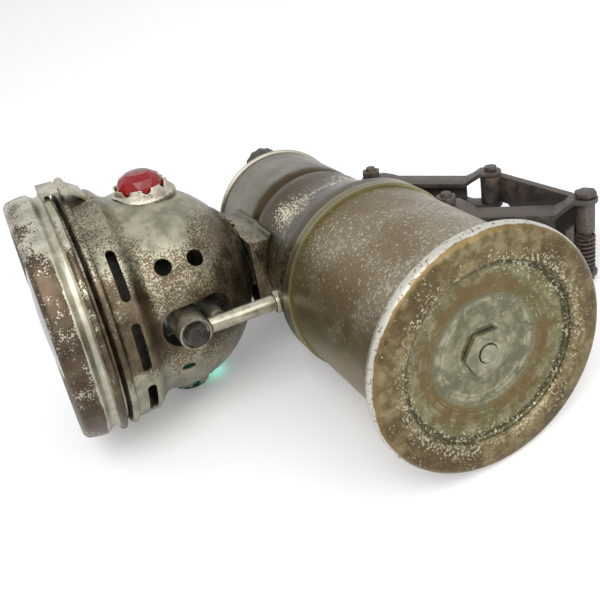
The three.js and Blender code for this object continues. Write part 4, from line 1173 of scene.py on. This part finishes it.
# Jewels, cut with rows of facets
def cut_jewel(name, place, sides=12):
    """A dome of flat triangles, each row turned by half a facet."""
    low = jewel_seat + seam_gap
    tall = jewel_height - round_shy
    points = []
    for row, (out, up) in enumerate(facet_shares[:-1]):
        turn = 0.5 if row % 2 else 0
        reach = out * (jewel_radius - round_shy)
        for x, y in circle(reach, sides, turn=turn):
            points.append((x, y, low + up * tall))
    points.append((0, 0, low + tall))
    apex = len(points) - 1
    faces = [tuple(range(sides))[::-1]]
    for row in range(len(facet_shares) - 2):
        for side in range(sides):
            after = (side + 1) % sides
            here = row * sides
            there = here + sides
            if row % 2 == 0:
                faces.append((here + side, here + after, there + side))
                faces.append((here + after, there + after, there + side))
            else:
                faces.append((here + side, here + after, there + after))
                faces.append((here + side, there + after, there + side))
    last = (len(facet_shares) - 2) * sides
    for side in range(sides):
        faces.append((last + side, last + (side + 1) % sides, apex))
    mesh = bpy.data.meshes.new(name)
    mesh.from_pydata([place @ Vector(point) for point in points], [], faces)
    return make_object(name, mesh)


for colour, side in (("red", -1), ("green", 1)):
    seat_place = (
        lamp_place
        @ Matrix.Translation((head_rear + jewel_forward, 0, head_height))
        @ Matrix.Rotation(side * math.pi / 2, 4, "X")
    )
    wear_slot(cut_jewel(f"{colour}_cut_glass", seat_place), f"{colour}_jewel")


# Torsion spring
def spring_points(centre, steps=28):
    coil = []
    for part in share(spring_turns * steps):
        angle = part * spring_turns * math.tau
        coil.append(Vector((
            centre.x + spring_radius * math.cos(angle),
            mix(spring_top, spring_low, part),
            centre.z + spring_radius * math.sin(angle),
        )))
    first = coil[0] + Vector((0, 0, -spring_arm))
    last = coil[-1] + Vector((0, 0, spring_arm))
    return [first] + coil + [last]


def wire(name, points, radius, sides=10):
    """A round wire swept through points."""
    vertices = []
    faces = []
    across = Vector((0, 1, 0))
    for index, point in enumerate(points):
        before = points[max(index - 1, 0)]
        after = points[min(index + 1, len(points) - 1)]
        along = (after - before).normalized()
        side = across.cross(along).normalized()
        top = along.cross(side)
        for x, y in circle(radius, sides):
            vertices.append(lamp_place @ (point + side * x + top * y))
    for index in range(len(points) - 1):
        for side in range(sides):
            after = (side + 1) % sides
            here = index * sides
            there = here + sides
            faces.append((here + side, here + after, there + after, there + side))
    faces.append(tuple(range(sides))[::-1])
    faces.append(tuple(range(len(vertices) - sides, len(vertices))))
    mesh = bpy.data.meshes.new(name)
    mesh.from_pydata(vertices, [], faces)
    smooth(mesh)
    return make_object(name, mesh)


def in_lamp(point):
    return lamp_place.inverted() @ Vector(point)


pin_a = in_lamp(joints["upper_link_pivot"]["pos_m"])
pin_b = in_lamp(joints["lower_link_pivot"]["pos_m"])
pin_c = in_lamp(joints["yoke_pivot"]["pos_m"])
pin_d = pin_b + pin_c - pin_a
spring = wire("spring_wire", spring_points(pin_d), spring_wire)
wear_slot(spring, "torsion_spring")

# All other nodes keep their CAD shape, with softened edges
made_here = {
    "base_cap", "carbide_chamber", "water_tank", "head_body", "reflector", "door_bezel",
    "lens", "red_jewel", "green_jewel", "torsion_spring",
}
inner_nodes = {
    "cap_stud", "carbide_cup", "tank_floor", "filter_plate", "filter_felt", "drip_tube",
    "valve_needle", "base_gasket", "filler_washer",
}
measured_from = {
    "cap_brass": lamp_place, "tank_nickel": lamp_place, "head_nickel": head_place,
}
for node in sorted(frame["nodes"]):
    if node in made_here:
        continue
    piece = dress(node, 0 if node in inner_nodes else edge_round)
    if slot_of[node] in measured_from:
        measure(piece, measured_from[slot_of[node]])
    wear_slot(piece, node)


# Floor, world and lamps
def make_floor():
    mesh = bpy.data.meshes.new("floor")
    reach = floor_half_width
    corners = [(-reach, -reach), (reach, -reach), (reach, reach), (-reach, reach)]
    mesh.from_pydata([(x, y, -floor_gap) for x, y in corners], [], [(0, 1, 2, 3)])
    floor = make_object("floor", mesh)
    material = bpy.data.materials.new("floor")
    material.use_nodes = True
    tree = material.node_tree
    shader = tree.nodes["Principled BSDF"]
    shader.inputs["Base Color"].default_value = (floor_tone, floor_tone, floor_tone, 1)
    shader.inputs["Roughness"].default_value = 0.9
    shader.inputs["Specular IOR Level"].default_value = 0.1
    shader.inputs["Emission Color"].default_value = (1, 1, 1, 1)
    path = tree.nodes.new("ShaderNodeLightPath")
    glow = tree.nodes.new("ShaderNodeMath")
    glow.operation = "MULTIPLY"
    glow.inputs[1].default_value = floor_glow
    tree.links.new(path.outputs["Is Camera Ray"], glow.inputs[0])
    tree.links.new(glow.outputs[0], shader.inputs["Emission Strength"])
    mesh.materials.append(material)


def make_world():
    world = bpy.data.worlds.new("studio")
    bpy.context.scene.world = world
    world.use_nodes = True
    tree = world.node_tree
    background = tree.nodes["Background"]
    background.inputs["Color"].default_value = (1, 1, 1, 1)
    path = tree.nodes.new("ShaderNodeLightPath")
    seen = tree.nodes.new("ShaderNodeMath")
    seen.operation = "ADD"
    both = tree.nodes.new("ShaderNodeMath")
    both.operation = "ADD"
    both.use_clamp = True
    strength = tree.nodes.new("ShaderNodeMapRange")
    strength.inputs["To Min"].default_value = ambient_strength
    strength.inputs["To Max"].default_value = 1
    tree.links.new(path.outputs["Is Camera Ray"], seen.inputs[0])
    tree.links.new(path.outputs["Is Glossy Ray"], seen.inputs[1])
    tree.links.new(seen.outputs[0], both.inputs[0])
    tree.links.new(path.outputs["Is Transmission Ray"], both.inputs[1])
    tree.links.new(both.outputs[0], strength.inputs["Value"])
    tree.links.new(strength.outputs["Result"], background.inputs["Strength"])


def add_lamp(name, place, aim, size, power, colour=(1, 1, 1)):
    data = bpy.data.lights.new(name, "AREA")
    data.color = colour
    data.shape = "DISK"
    data.size = size
    data.energy = power
    lamp = bpy.data.objects.new(name, data)
    bpy.context.scene.collection.objects.link(lamp)
    direction = Vector(aim) - Vector(place)
    lamp.matrix_world = (
        Matrix.Translation(Vector(place)) @ direction.to_track_quat("-Z", "Y").to_matrix().to_4x4()
    )


def make_camera():
    data = bpy.data.cameras.new("camera")
    data.angle = camera_field
    data.clip_start = camera_near
    camera = bpy.data.objects.new("camera", data)
    bpy.context.scene.collection.objects.link(camera)
    turn = lamp_turn.to_3x3()
    back = (turn @ (camera_place - camera_aim)).normalized()
    right = (turn @ camera_up).cross(back).normalized()
    up = back.cross(right)
    axes = Matrix((right, up, back)).transposed().to_4x4()
    camera.matrix_world = Matrix.Translation(lamp_place @ camera_place) @ axes
    bpy.context.scene.camera = camera


make_floor()
make_world()
add_lamp("key", key_place, light_aim, key_size, key_power)
add_lamp("fill", fill_place, light_aim, fill_size, fill_power)
glow_from = seat_place @ Vector((0, 0, jewel_seat + jewel_height * glow_share))
glow_from.x += glow_aside
glow_spot = Vector((glow_from.x, glow_from.y, 0))
add_lamp("jewel_glow", glow_from, glow_spot, glow_size, glow_power, glow_colour)
make_camera()
bpy.context.scene.view_settings.view_transform = "Standard"
